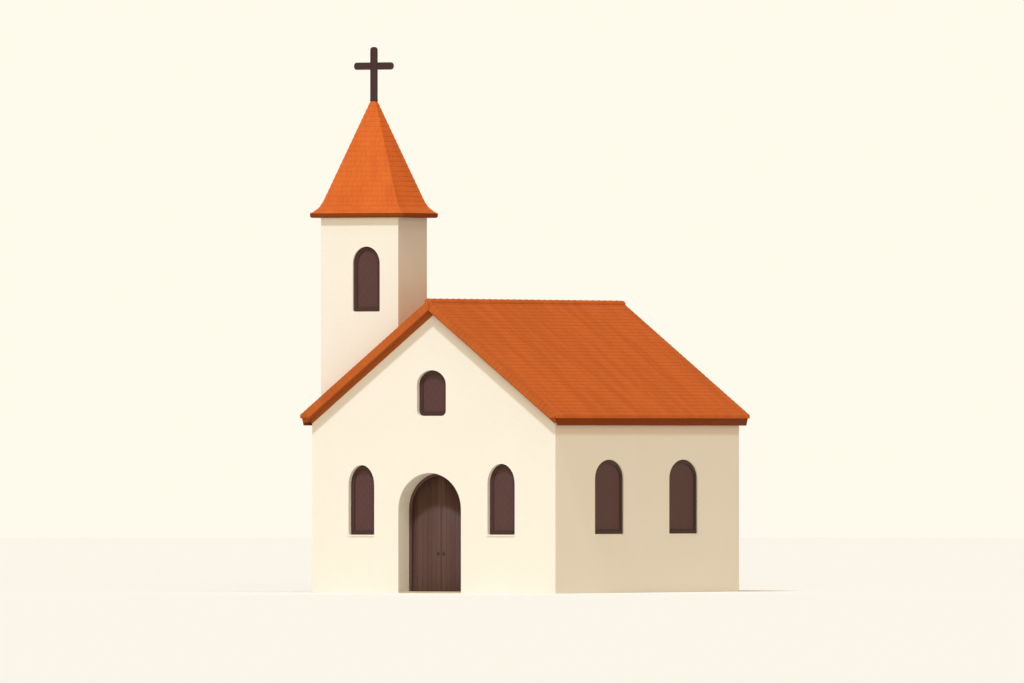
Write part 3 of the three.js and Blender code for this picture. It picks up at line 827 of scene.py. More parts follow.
def plain_tile(name, width, length):
    """A flat tile whose tail is at x = 0, with its top at z = 0, running to -X."""
    tile = block(name, (-length, -width / 2, -TILE_THICKNESS), (0, width / 2, 0))
    select_parts(tile, "EDGE", lambda middle, way: middle.x > -0.001 and middle.z > -0.005)
    bpy.ops.mesh.bevel(offset=TILE_ROUND, segments=1, affect="EDGES")
    bpy.ops.object.mode_set(mode="OBJECT")
    return tile


low_tile = put(plain_tile("low_tile", TILE_WIDTH, TILE_LENGTH), (0, -TILE_TILT, 0))
put(low_tile, move=(SLOPE_END, 0, TILE_LAYER))
high_tile = twin(low_tile, "high_tile")
put(high_tile, move=(-EXPOSURE, TILE_PITCH / 2, 0))
pair = join("tile_pair", [low_tile, high_tile])
print("slope length", round(SLOPE_END, 3), "faces in a pair", len(pair.data.polygons))

# %% The field of tiles on the right slope
PAST_RIDGE = TILE_LAYER * math.tan(PITCH)
COURSES = math.ceil((SLOPE_END + PAST_RIDGE) / EXPOSURE)
FIELD_FRONT_Y = VERGE_FRONT_Y + VERGE_WIDTH + SLIT
FIELD_REAR_Y = VERGE_REAR_Y - VERGE_WIDTH - SLIT
FIRST_TILE_Y = FIELD_FRONT_Y - 0.06
columns = math.ceil((FIELD_REAR_Y - FIELD_FRONT_Y) / TILE_PITCH) + 2
put(pair, move=(0, FIRST_TILE_Y, 0))
repeat(pair, (0, TILE_PITCH, 0), columns)
repeat(pair, (-2 * EXPOSURE, 0, 0), math.ceil(COURSES / 2))
cut(pair, (0, FIELD_FRONT_Y, 0), (0, -1, 0))
cut(pair, (0, FIELD_REAR_Y, 0), (0, 1, 0))
print("courses", COURSES, "columns", columns)

# %% [markdown]
# Boards close the roof under the tiles. Along the gables a verge tile turns down over the edge
# of the roof, one to each course, and these ends make the orange band that follows the gable.
# They are cut level near the eave.

# %% Boards under the tiles and verge tiles
BOARDS_TOP, BOARDS_SHORT, BOARDS_PAST_RIDGE = 0.030, 0.01, 0.1
tile_boards = block(
    "tile_boards",
    (-BOARDS_PAST_RIDGE, FIELD_FRONT_Y, SLIT),
    (SLOPE_END - BOARDS_SHORT, FIELD_REAR_Y, BOARDS_TOP),
)
VERGE_GAP, VERGE_UNDER_DECK = 0.003, 0.010
VERGE_DROP = (TILE_LIFT + VERGE_UNDER_DECK) * math.cos(PITCH)
verge = block(
    "verge_tiles",
    (-EXPOSURE + VERGE_GAP, VERGE_FRONT_Y, -VERGE_DROP),
    (0, VERGE_FRONT_Y + VERGE_WIDTH, TILE_LAYER),
)
select_parts(verge, "EDGE", lambda middle, way: middle.x < -0.1 and middle.z > 0)
bpy.ops.transform.translate(value=(0, 0, -TILE_THICKNESS))
bpy.ops.object.mode_set(mode="OBJECT")
soften(verge, 0.003, segments=1)
put(verge, move=(SLOPE_END, 0, 0))
repeat(verge, (-EXPOSURE, 0, 0), COURSES)
rear_verge = twin(verge, "rear_verge_tiles")
put(rear_verge, move=(0, VERGE_REAR_Y - VERGE_FRONT_Y - VERGE_WIDTH, 0))
verges = join("verges", [verge, rear_verge])
print("verge tiles drop", round(VERGE_DROP, 3), "below the layer")

# %% [markdown]
# The lowest course ends in eave tiles, which have a lip that hangs down before the fascia and
# throws the rain into the open. From the ground this lip is the bright line under the roof.
# It is made upright in its place, then repeated along the eave. A narrow one closes each end
# under the verge tiles.

# %% The lips of the eave tiles
LIP_BACK_X, LIP_FRONT_X = 4.306, TILE_END_X - 0.001
LIP_BOTTOM_Z, LIP_HEIGHT, LIP_RISE, LIP_GAP = 5.110, 0.094, 0.012, 0.001


def eave_lip(name, front_y, rear_y):
    """One lip, with its upper edge sloping up and back under the tile."""
    high_z = LIP_BOTTOM_Z + LIP_HEIGHT
    lip = block(name, (LIP_BACK_X, front_y, LIP_BOTTOM_Z), (LIP_FRONT_X, rear_y, high_z))
    select_parts(
        lip,
        "EDGE",
        lambda middle, way: middle.z > high_z - 0.01 and middle.x < LIP_BACK_X + 0.01,
    )
    bpy.ops.transform.translate(value=(0, 0, LIP_RISE))
    bpy.ops.object.mode_set(mode="OBJECT")
    return soften(lip, 0.004)


lip = eave_lip("eave_lips", FIELD_FRONT_Y + LIP_GAP, FIELD_FRONT_Y + TILE_WIDTH)
repeat(lip, (0, TILE_PITCH, 0), columns)
cut(lip, (0, FIELD_REAR_Y, 0), (0, 1, 0))
front_lip = eave_lip("front_lip", VERGE_FRONT_Y + SLIT, FIELD_FRONT_Y)
rear_lip = eave_lip("rear_lip", FIELD_REAR_Y, VERGE_REAR_Y - SLIT)
lip = join("eave_lips", [lip, front_lip, rear_lip])
print("eave lips:", columns)

# %% To the pitch, cut at the ridge and mirrored
def to_slope(piece):
    """Turns a flat-laid piece to the right slope and cuts it at the ridge."""
    put(piece, (0, PITCH, 0), (0, 0, RIDGE_Z + TILE_LIFT))
    return cut(piece, (SLIT, 0, 0), (-1, 0, 0))


for piece in (pair, tile_boards, verges):
    to_slope(piece)
cut(verges, (0, 0, LIP_BOTTOM_Z), (0, 0, -1))
right_tiles = join("roof_tiles_right_laid", [pair, lip, tile_boards])
left_tiles = mirrored(right_tiles, "roof_tiles_left_laid")
left_verges = mirrored(verges, "verge_tiles_left")
verges.name = "verge_tiles_right"
dress(verges, verge_clay_painted_shade, stands_for=["roof_tiles_right"])
dress(left_verges, verge_clay_painted_shade, stands_for=["roof_tiles_left"])
print("faces on a slope:", len(right_tiles.data.polygons))

# %% [markdown]
# The tower rises through the left slope just behind the gable. The tiler cuts the tiles
# around it, so the left slope is kept in three parts: before, beside and behind the tower.

# %% Round the tower
TOWER_SLIT = 0.0006
tiles_front_y = TOWER_FRONT_Y - TOWER_SLIT
tiles_rear_y = TOWER_REAR_Y + TOWER_SLIT
before = left_tiles
beside = twin(left_tiles, "beside")
behind = twin(left_tiles, "behind")
cut(before, (0, tiles_front_y, 0), (0, 1, 0))
cut(behind, (0, tiles_rear_y, 0), (0, -1, 0))
cut(beside, (0, tiles_front_y, 0), (0, -1, 0))
cut(beside, (0, tiles_rear_y, 0), (0, 1, 0))
cut(beside, (TOWER_RIGHT_X + TOWER_SLIT, 0, 0), (-1, 0, 0))
left_tiles = join("roof_tiles_left_laid", [before, beside, behind])
dress(right_tiles, nave_clay, stands_for=["roof_tiles_right"])
dress(left_tiles, nave_clay, stands_for=["roof_tiles_left"])
print("left slope faces:", len(left_tiles.data.polygons))

# %% [markdown]
# ## The ridge
#
# Half-round ridge tiles cover the joint between the slopes, bedded on mortar. Each has a
# collar at one end that laps the next. A tube is cut to half, given its wall by Solidify, and
# repeated. The mortar fills the tube down to the tiles: a round bar is split along the ridge,
# and each half is cut by the plane of its own slope.

# %% Ridge tiles and their bed
RIDGE_SINK = 0.073
RIDGE_CENTRE_Z = RIDGE_Z + TILE_LIFT + TILE_LAYER / math.cos(PITCH) - RIDGE_SINK
RIDGE_LENGTH = VERGE_REAR_Y - VERGE_FRONT_Y
RIDGE_COUNT = 32
BARREL_RADIUS, BARREL_WALL, BARREL_GAP = 0.112, 0.014, 0.002
COLLAR_RADIUS, COLLAR_WALL, COLLAR_LENGTH = 0.120, 0.010, 0.045
TUBE_LOW_Z = -0.0137
BED_RADIUS, BED_SHORT, BED_FOOT_LIFT = 0.097, 0.01, 0.050


def half_tube(name, radius, wall, length):
    """A half-round shell along +Y from y = 0, open below."""
    pick()
    bpy.ops.mesh.primitive_cylinder_add(
        vertices=24, radius=radius, depth=length, end_fill_type="NOTHING"
    )
    shell = bpy.context.object
    shell.name = name
    put(shell, (math.pi / 2, 0, 0), (0, length / 2, 0))
    cut(shell, (0, 0, TUBE_LOW_Z), (0, 0, -1), fill=False)
    return modify(shell, "SOLIDIFY", thickness=wall, offset=-1, use_even_offset=True)


step = RIDGE_LENGTH / RIDGE_COUNT
barrel = half_tube("ridge_barrel", BARREL_RADIUS, BARREL_WALL, step - BARREL_GAP)
collar = half_tube("ridge_collar", COLLAR_RADIUS, COLLAR_WALL, COLLAR_LENGTH)
ridge = soften(join("ridge_tiles", [barrel, collar]), 0.002, segments=1)
put(ridge, move=(0, VERGE_FRONT_Y, RIDGE_CENTRE_Z))
repeat(ridge, (0, step, 0), RIDGE_COUNT)
pick()
bpy.ops.mesh.primitive_cylinder_add(
    vertices=24, radius=BED_RADIUS, depth=RIDGE_LENGTH - BED_SHORT
)
bed = bpy.context.object
bed.name = "ridge_bed"
put(bed, (math.pi / 2, 0, 0), (0, (VERGE_FRONT_Y + VERGE_REAR_Y) / 2, RIDGE_CENTRE_Z))
BED_FOOT = (0, 0, RIDGE_Z + TILE_LIFT + BED_FOOT_LIFT / math.cos(PITCH))
left_bed = twin(bed, "left_bed")
for half, side in ((bed, 1), (left_bed, -1)):
    cut(half, (0, 0, 0), (-side, 0, 0))
    cut(half, BED_FOOT, (-side * math.sin(PITCH), 0, -math.cos(PITCH)))
bed = join("ridge_bed", [bed, left_bed])
dress(ridge, nave_clay, stands_for=["ridge_caps"])
dress(bed, mortar, stands_for=["ridge_caps"])
print("ridge tiles:", RIDGE_COUNT, "each", round(step, 3), "m")

# %% [markdown]
# ## The spire
#
# The spire is four boarded slopes that flare out at the eave like a bell, with tiles in
# courses that meet in a clean mitre at each hip. The flare is a curve that runs into a
# straight line. It leaves the eave towards the bend and is straight above, and each of its
# points is a share of the eave's half size and a height over the walls. The courses are found
# by walking along that line in equal steps. For each slope a strip of boards follows the
# curve, extruded edge by edge, and each course is a tile repeated across and leaned to its own
# step. Planes through the hips cut both.

# %% The curve of the slopes
EAVE_POINT, BEND_POINT = (1.0, 0.1333), (0.862, 0.215)
STRAIGHT_POINT, TOP_POINT = (0.78, 0.545), (0.0587, 3.425)
FLARE_STEPS = 32


def spire_curve():
    """Points from eave to top, each a share and a height."""
    points = []
    for i in range(FLARE_STEPS + 1):
        t = i / FLARE_STEPS
        weights = ((1 - t) ** 2, 2 * t * (1 - t), t * t)
        shares, heights = zip(EAVE_POINT, BEND_POINT, STRAIGHT_POINT)
        share = sum(w * value for w, value in zip(weights, shares))
        height = sum(w * value for w, value in zip(weights, heights))
        points.append((share, height))
    return points + [TOP_POINT]


def walk(points, count, half):
    """The same line as count equal steps on a slope whose eave is half away."""
    lengths = [
        math.hypot((b[0] - a[0]) * half, b[1] - a[1]) for a, b in zip(points, points[1:])
    ]
    total = sum(lengths)
    stops = [points[0]]
    run, i = 0.0, 0
    for k in range(1, count):
        goal = total * k / count
        while run + lengths[i] < goal:
            run += lengths[i]
            i += 1
        t = (goal - run) / lengths[i]
        a, b = points[i], points[i + 1]
        stops.append((a[0] + (b[0] - a[0]) * t, a[1] + (b[1] - a[1]) * t))
    return stops + [points[-1]]


SPIRE_TURN = {"front": 0, "right": math.pi / 2, "rear": math.pi, "left": -math.pi / 2}
SPIRE_COURSES, SPIRE_MEAN_HALF = 23, 1.3
steps = walk(spire_curve(), SPIRE_COURSES, SPIRE_MEAN_HALF)
print("spire course heights:", [round(height, 2) for share, height in steps[:6]])

# %% One course and one strip of boards, drawn as for the front slope
SPIRE_TILE_WIDTH, SPIRE_TILE_PITCH, SPIRE_LAP = 0.165, 0.168, 0.06
BOARD_SINK, BOARD_RISE, BOARD_TOP_DROP, BOARD_THICKNESS = 0.045, 0.012, 0.02, 0.022


def spire_course(index, out, across):
    """One row of tiles between two steps of the curve."""
    (share, z), (next_share, next_z) = steps[index], steps[index + 1]
    rise, run = next_z - z, (share - next_share) * out
    showing = math.hypot(rise, run)
    tile = plain_tile("spire_tile", SPIRE_TILE_WIDTH, showing + SPIRE_LAP)
    put(tile, (0, 0, -math.pi / 2))
    lean = math.atan2(rise, run) - math.atan(LAP_RISE / showing)
    count = math.ceil(2 * share * across / SPIRE_TILE_PITCH) + 2
    shift = SPIRE_TILE_PITCH / 2 if index % 2 else 0
    start = -count * SPIRE_TILE_PITCH / 2 + shift
    put(tile, (lean, 0, 0), (start, -share * out, z))
    return repeat(tile, (SPIRE_TILE_PITCH, 0, 0), count)


def spire_boards(out, across):
    """A strip of boards that follows the curve 45 mm under the tiles' faces."""
    line = [(-share * out + BOARD_SINK, z + BOARD_RISE) for share, z in steps[:-1:2]]
    top_share, top_z = steps[-1]
    line.append((-top_share * out + BOARD_SINK, top_z - BOARD_TOP_DROP))
    (y0, z0), (y1, z1) = line[0], line[1]
    pick()
    bpy.ops.mesh.primitive_plane_add(size=1)
    strip = bpy.context.object
    strip.scale = (2 * across, math.hypot(y1 - y0, z1 - z0), 1)
    settle(strip)
    put(strip, (math.atan2(z1 - z0, y1 - y0), 0, 0), (0, (y0 + y1) / 2, (z0 + z1) / 2))
    select_parts(
        strip, "EDGE", lambda middle, way: abs(way.x) > 0.9 and middle.z > (z0 + z1) / 2
    )
    for (ya, za), (yb, zb) in zip(line[1:], line[2:]):
        bpy.ops.mesh.extrude_region_move(
            TRANSFORM_OT_translate={"value": (0, yb - ya, zb - za)}
        )
    bpy.ops.object.mode_set(mode="OBJECT")
    return modify(
        strip, "SOLIDIFY", thickness=BOARD_THICKNESS, offset=-1, use_even_offset=True
    )


print("course and board makers ready")

# %% The four slopes
def spire_slope(side):
    """The boards and tiles of one slope, mitred at both hips."""
    out, across = SPIRE_HALF_Y, SPIRE_HALF_X
    if side in ("right", "left"):
        out, across = across, out
    rows = [spire_course(i, out, across) for i in range(SPIRE_COURSES)]
    slope = join("spire_" + side + "_tiled", rows + [spire_boards(out, across)])
    cut(slope, (0, -SLIT, 0), (1 / across, 1 / out, 0))
    cut(slope, (0, -SLIT, 0), (-1 / across, 1 / out, 0))
    cut(slope, (0, 0, TOP_POINT[1] - SLIT), (0, 0, 1))
    cut(slope, (0, 0, EAVE_POINT[1] + JOINT), (0, 0, -1))
    put(slope, (0, 0, SPIRE_TURN[side]), (TOWER_X, TOWER_Y, TOWER_TOP))
    return dress(slope, spire_clay, stands_for=["spire_" + side])


for side in SPIRE_TURN:
    slope = spire_slope(side)
    print(slope.name, "faces:", len(slope.data.polygons))

# %% [markdown]
# ## Windows
#
# Each window is a timber frame painted dark brown, with a glazing bead and one arched light
# of tinted leaded glass. The lead runs in small diamonds that hardly show against the dark
# glass. The arch starts as a disc: it is pressed to an ellipse, cut in half at the springing,
# and its straight edge is pulled down to the sill. Solidify gives it depth, and a Boolean
# with a smaller arch opens the frame. That smaller arch is the same shape one border further
# in, and the bead and the glass are made from it too.

# %% The arched shape
def arch_sheet(name, width, height, rise, corner, sides):
    """A flat arched sheet that faces -Y, with its sill on z = 0."""
    springing = height - rise
    pick()
    bpy.ops.mesh.primitive_circle_add(vertices=sides, radius=width / 2, fill_type="NGON")
    sheet = bpy.context.object
    sheet.name = name
    sheet.scale = (1, rise / (width / 2), 1)
    settle(sheet)
    put(sheet, (math.pi / 2, 0, 0), (0, 0, springing))
    cut(sheet, (0, 0, springing), (0, 0, -1), fill=False)
    select_parts(
        sheet,
        "EDGE",
        lambda middle, way: abs(middle.z - springing) < 1e-4 and abs(way.x) > 0.99,
    )
    bpy.ops.mesh.extrude_region_move(
        TRANSFORM_OT_translate={"value": (0, 0, -springing)}
    )
    bpy.ops.mesh.select_all(action="SELECT")
    bpy.ops.mesh.dissolve_limited(angle_limit=math.radians(0.5))
    select_parts(sheet, "VERT", lambda spot: spot.z < 1e-4)
    bpy.ops.mesh.bevel(offset=corner, segments=4, affect="VERTICES")
    bpy.ops.object.mode_set(mode="OBJECT")
    return sheet


def arch_slab(name, width, height, rise, corner, front, back, sides=64):
    """The arched shape with thickness, from y = front to y = back."""
    slab = arch_sheet(name, width, height, rise, corner, sides)
    modify(slab, "SOLIDIFY", thickness=back - front, offset=-1)
    return put(slab, move=(0, front, 0))


print("arched shapes ready")

# %% Frame, bead and glass of one size of window
WINDOW_DEPTH = 0.080
NICHE_SIDES = 32
FRAME_PLAY = 0.001
LEAST_CORNER, HOLE_PAST = 0.012, 0.05
BEAD_WIDTH, BEAD_FRONT = 0.018, 0.014
GLASS_FRONT, GLASS_BACK = 0.034, 0.044


def further_in(width, height, rise, corner, border):
    """The width, height, rise and corner of the same arch one border further in."""
    return (
        width - 2 * border,
        height - 2 * border,
        rise - border,
        max(corner - border, LEAST_CORNER),
    )


def arch_ring(name, width, height, rise, corner, border, front, back, sides=64):
    """An arched ring of one border width."""
    ring = arch_slab(name, width, height, rise, corner, front, back, sides)
    inner = further_in(width, height, rise, corner, border)
    hole = arch_slab("hole", *inner, front - HOLE_PAST, back + HOLE_PAST)
    put(hole, move=(0, 0, border))
    modify(ring, "BOOLEAN", object=hole, operation="DIFFERENCE", solver="EXACT")
    bpy.data.objects.remove(hole)
    return ring


def window_parts(width, height, rise, corner, border, recess):
    """The frame with its bead, and the glass, of one window at the origin."""
    outer = arch_ring(
        "frame",
        width - 2 * FRAME_PLAY,
        height - 2 * FRAME_PLAY,
        rise - FRAME_PLAY,
        corner,
        border - FRAME_PLAY,
        recess,
        recess + WINDOW_DEPTH,
        sides=NICHE_SIDES,
    )
    put(outer, move=(0, 0, FRAME_PLAY))
    soften(outer, 0.005)
    inner = further_in(width, height, rise, corner, border)
    bead = arch_ring("bead", *inner, BEAD_WIDTH, recess + BEAD_FRONT, recess + GLASS_FRONT)
    put(bead, move=(0, 0, border))
    soften(bead, 0.004)
    glass = arch_slab("glass", *inner, recess + GLASS_FRONT, recess + GLASS_BACK)
    put(glass, move=(0, 0, border))
    return join("frame", [outer, bead]), glass


print("window maker ready")

# %% [markdown]
# The paint on the frames is a dark brown oil paint, laid on with a brush whose faint marks are
# 40 mm wide, and it has a low sheen. The glass is brown cathedral glass in lead: it isn't flat
# but ripples every 170 mm, so each diamond catches the light a little differently. The diamonds
# are 260 mm high and 180 mm wide, and the lead is 8 mm wide. They are drawn in the material from
# two sets of slanting lines, because they lie in the glass. Old glass is dull outside, so it is
# rough and hardly mirrors the sky.

# %% Painted frames and leaded glass
BRUSH_MARK_MM, RIPPLE_MM = 40, 170
LEAD_SLOPE, HALF_DIAMOND = 1.45, 0.13
LEAD_HALF_WIDTH, LEAD_EDGE_END = 0.004, 0.006
GLASS_ROUGHNESS, LEAD_ROUGHNESS = 0.45, 0.65


def brushed_paint(name, light, shade, roughness):
    """An oil paint with faint brush marks."""
    material, tree, shader, place = new_finish(name, roughness)
    shader.inputs["Specular IOR Level"].default_value = 0.2
    marks = add_node(
        tree,
        "ShaderNodeTexNoise",
        {"Vector": place, "Scale": per_metre(BRUSH_MARK_MM), "Detail": 4.0},
    )
    tone = add_node(
        tree,
        "ShaderNodeMix",
        {0: marks.outputs["Fac"], 6: linear(light), 7: linear(shade)},
        data_type="RGBA",
    )
    relief = add_node(
        tree,
        "ShaderNodeBump",
        {"Strength": 0.15, "Distance": 0.001, "Height": marks.outputs["Fac"]},
    )
    tree.links.new(tone.outputs[2], shader.inputs["Base Color"])
    tree.links.new(relief.outputs["Normal"], shader.inputs["Normal"])
    return material


def leaded_glass(name, light, shade, lead):
    """Tinted glass in diamonds of lead. Along a wall, x + y runs level whichever way it faces."""
    material, tree, shader, place = new_finish(name, GLASS_ROUGHNESS)
    shader.inputs["Specular IOR Level"].default_value = 0.14
    axes = add_node(tree, "ShaderNodeSeparateXYZ", {0: place})
    along = add_node(
        tree, "ShaderNodeMath", {0: axes.outputs[0], 1: axes.outputs[1]}, operation="ADD"
    )
    distances = []
    for sign in (1.0, -1.0):
        slant = add_node(
            tree,
            "ShaderNodeMath",
            {0: along.outputs[0], 1: LEAD_SLOPE * sign, 2: axes.outputs[2]},
            operation="MULTIPLY_ADD",
        )
        wave = add_node(
            tree,
            "ShaderNodeMath",
            {0: slant.outputs[0], 1: HALF_DIAMOND},
            operation="PINGPONG",
        )
        distances.append(wave.outputs[0])
    nearest = add_node(
        tree, "ShaderNodeMath", {0: distances[0], 1: distances[1]}, operation="MINIMUM"
    )
    came = add_node(
        tree,
        "ShaderNodeMapRange",
        {0: nearest.outputs[0], 1: LEAD_HALF_WIDTH, 2: LEAD_EDGE_END, 3: 1.0, 4: 0.0},
    )
    ripple = add_node(
        tree,
        "ShaderNodeTexNoise",
        {"Vector": place, "Scale": per_metre(RIPPLE_MM), "Detail": 3.0},
    )
    tint = add_node(
        tree,
        "ShaderNodeMix",
        {0: ripple.outputs["Fac"], 6: linear(light), 7: linear(shade)},
        data_type="RGBA",
    )
    tone = add_node(
        tree,
        "ShaderNodeMix",
        {0: came.outputs[0], 6: tint.outputs[2], 7: linear(lead)},
        data_type="RGBA",
    )
    swell = add_node(
        tree,
        "ShaderNodeBump",
        {"Strength": 0.2, "Distance": 0.004, "Height": ripple.outputs["Fac"]},
    )
    relief = add_node(
        tree,
        "ShaderNodeBump",
        {
            "Strength": 0.3,
            "Distance": 0.002,
            "Height": came.outputs[0],
            "Normal": swell.outputs["Normal"],
        },
    )
    rough = add_node(
        tree,
        "ShaderNodeMapRange",
        {0: came.outputs[0], 1: 0.0, 2: 1.0, 3: GLASS_ROUGHNESS, 4: LEAD_ROUGHNESS},
    )
    tree.links.new(tone.outputs[2], shader.inputs["Base Color"])
    tree.links.new(rough.outputs[0], shader.inputs["Roughness"])
    tree.links.new(relief.outputs["Normal"], shader.inputs["Normal"])
    return material


frame_paint = brushed_paint("oil_paint_dark_brown", "#4A332C", "#3F2B25", 0.5)
glass_tint = leaded_glass("cathedral_glass_leaded", "#593D39", "#513734", "#45312C")
print("frame paint and glass ready")

# %% [markdown]
# Under each of the nave's tall windows lies a thin plastered sill: a slab in the recess and a
# rounded nose that throws the rain clear of the wall. It catches the light along its edge. The
# five sizes of window are modelled once and copied to their places.

# %% Sills and the five sizes
SIZE_WORDS = ("width", "height", "rise", "corner", "border", "recess")
SILL_REACHES = {"front_left": 0.030, "front_right": 0.030, "side": 0.050}
NOSE_BOTTOM, NOSE_TOP, NOSE_FALL = -0.030, 0.004, 0.008
SLAB_BOTTOM, SLAB_TOP, SLAB_SHORT, OVERLAP = -0.001, 0.010, 0.012, 0.002
SIZES = {
    "front_left": (0.870, 2.050, 0.580, 0.040, 0.105, 0.140),
    "front_right": (0.917, 2.080, 0.580, 0.040, 0.105, 0.140),
    "gable": (0.975, 1.336, 0.430, 0.140, 0.105, 0.140),
    "belfry": (0.914, 1.906, 0.500, 0.040, 0.105, 0.060),
    "side": (1.705, 2.185, 0.550, 0.040, 0.110, 0.040),
}


def window_sill(width, recess, reach):
    """A slab in the recess with a rounded nose before the wall."""
    half = width / 2
    nose = block("sill", (-half, -reach, NOSE_BOTTOM), (half, 0.0, NOSE_TOP))
    select_parts(nose, "EDGE", lambda middle, way: middle.y < -reach + 0.005 and middle.z > 0)
    bpy.ops.transform.translate(value=(0, 0, -NOSE_FALL))
    bpy.ops.object.mode_set(mode="OBJECT")
    soften(nose, 0.006)
    slab = block(
        "slab",
        (-half + SLAB_SHORT, -OVERLAP, SLAB_BOTTOM),
        (half - SLAB_SHORT, recess + OVERLAP, SLAB_TOP),
    )
    soften(slab, 0.003)
    return join("sill", [nose, slab])


models = {}
for size, values in SIZES.items():
    numbers = dict(zip(SIZE_WORDS, values))
    timber, glass = window_parts(**numbers)
    models[size] = {"frame": timber, "glass": glass}
    if size in SILL_REACHES:
        sill = window_sill(numbers["width"], numbers["recess"], SILL_REACHES[size])
        models[size]["sill"] = sill
print("window sizes modelled:", list(models))

# %% Windows in their places
FRONT, REAR, RIGHT, LEFT = 0, math.pi, math.pi / 2, -math.pi / 2
BELFRY_X = TOWER_X + 0.2275
WINDOWS = {
    "window_front_left": ("front_left", (-2.440, FRONT_Y, 1.690), FRONT),
    "window_front_right": ("front_right", (2.280, FRONT_Y, 1.700), FRONT),
    "window_gable_front": ("gable", (-0.070, FRONT_Y, 5.176), FRONT),
    "window_rear_left": ("front_right", (-2.360, REAR_Y, 1.700), REAR),
    "window_rear_right": ("front_right", (2.360, REAR_Y, 1.700), REAR),
    "window_gable_rear": ("gable", (0, REAR_Y, 5.176), REAR),
    "window_right_front": ("side", (HALF_WIDTH, -2.270, 1.715), RIGHT),
    "window_right_rear": ("side", (HALF_WIDTH, 2.120, 1.715), RIGHT),
    "window_left_front": ("side", (-HALF_WIDTH, -1.500, 1.715), LEFT),
    "window_left_rear": ("side", (-HALF_WIDTH, 2.120, 1.715), LEFT),
    "window_tower_front": ("belfry", (BELFRY_X, TOWER_FRONT_Y, 8.235), FRONT),
    "window_tower_rear": ("belfry", (BELFRY_X, TOWER_REAR_Y, 8.235), REAR),
}
FINISHES = {
    "frame": (frame_paint, "window_joinery"),
    "glass": (glass_tint, "window_glass"),
    "sill": (plaster, "plaster"),
}
for node_name, (size, place, turn) in WINDOWS.items():
    for part, model in models[size].items():
        material, slot = FINISHES[part]
        copy = put(twin(model, node_name + "_" + part), (0, 0, turn), place)
        dress(copy, material, stands_for=[] if part == "sill" else [node_name])
for parts in models.values():
    for model in parts.values():
        bpy.data.objects.remove(model)
print("windows placed:", len(WINDOWS))

# %% [markdown]
# ## Doors
#
# The two leaves are oak planks with rounded edges, clenched to iron straps behind, and they
# turn on pins fixed to the frame. The planks are cut to the arch as a joiner would saw them,
# by one straight cut after another. Ring pulls hang near the meeting edge. The frame itself
# is the CAD node, because its shape is already right. The oak's grain of about 3 mm is drawn
# 17 mm wide and 400 mm long, upright as the planks stand.

# %% Oak
OAK_GRAIN_MM = (17, 17, 400)


def oiled_oak(name, light, shade):
    """Oak with upright grain, darkened by oil and years."""
    material, tree, shader, place = new_finish(name, 0.6)
    shader.inputs["Specular IOR Level"].default_value = 0.15
    stretched = add_node(
        tree,
        "ShaderNodeVectorMath",
        {0: place, 1: [per_metre(size) for size in OAK_GRAIN_MM]},
        operation="MULTIPLY",
    )
    grain = add_node(
        tree,
        "ShaderNodeTexNoise",
        {"Vector": stretched.outputs[0], "Scale": 1.0, "Detail": 5.0},
    )
    plank = add_node(tree, "ShaderNodeNewGeometry").outputs["Random Per Island"]
    blend = add_node(
        tree, "ShaderNodeMath", {0: grain.outputs["Fac"], 1: plank}, operation="MULTIPLY"
    )
    tone = add_node(
        tree,
        "ShaderNodeMix",
        {0: blend.outputs[0], 6: linear(light), 7: linear(shade)},
        data_type="RGBA",
    )
    relief = add_node(
        tree,
        "ShaderNodeBump",
        {"Strength": 0.3, "Distance": 0.002, "Height": grain.outputs["Fac"]},
    )
    tree.links.new(tone.outputs[2], shader.inputs["Base Color"])
    tree.links.new(relief.outputs["Normal"], shader.inputs["Normal"])
    return material


oak = oiled_oak("oak_oiled_dark", "#5E433B", "#4A332C")
paint_nodes(oak, "door_frame")
iron = brushed_paint("wrought_iron_blacked", "#43342E", "#372A26", 0.45)
print("oak and iron ready")

# %% Planks cut to the arch
DOOR_X, SPRINGING, LEAF_RADIUS = -0.130, 2.450, 0.960
LEAF_FRONT, LEAF_BACK, LEAF_BOTTOM, MEETING_GAP = -4.775, -4.725, 0.053, 0.006
PLANKS, PLANK_GAP, ARCH_CUTS = 6, 0.002, 16


def leaf_planks(side):
    """Six planks of one leaf; side is -1 for the left leaf and 1 for the right one."""
    width = (LEAF_RADIUS - MEETING_GAP) / PLANKS
    plank = block(
        "plank",
        (MEETING_GAP, LEAF_FRONT, LEAF_BOTTOM),
        (MEETING_GAP + width - PLANK_GAP, LEAF_BACK, SPRINGING + LEAF_RADIUS),
    )
    soften(plank, 0.006)
    repeat(plank, (width, 0, 0), PLANKS)
    reach = LEAF_RADIUS * math.cos(math.pi / 4 / ARCH_CUTS)
    for i in range(ARCH_CUTS):
        angle = (i + 0.5) * math.pi / 2 / ARCH_CUTS
        away = Vector((math.cos(angle), 0, math.sin(angle)))
        cut(plank, Vector((0, 0, SPRINGING)) + away * reach, away)
    if side < 0:
        plank = mirrored_here(plank)
    return put(plank, move=(DOOR_X, 0, 0))


def mirrored_here(piece):
    """The piece itself turned to its mirror image."""
    piece.scale = (-1, 1, 1)
    settle(piece)
    return face_outwards(piece)


print("plank width", round((LEAF_RADIUS - MEETING_GAP) / PLANKS, 3))

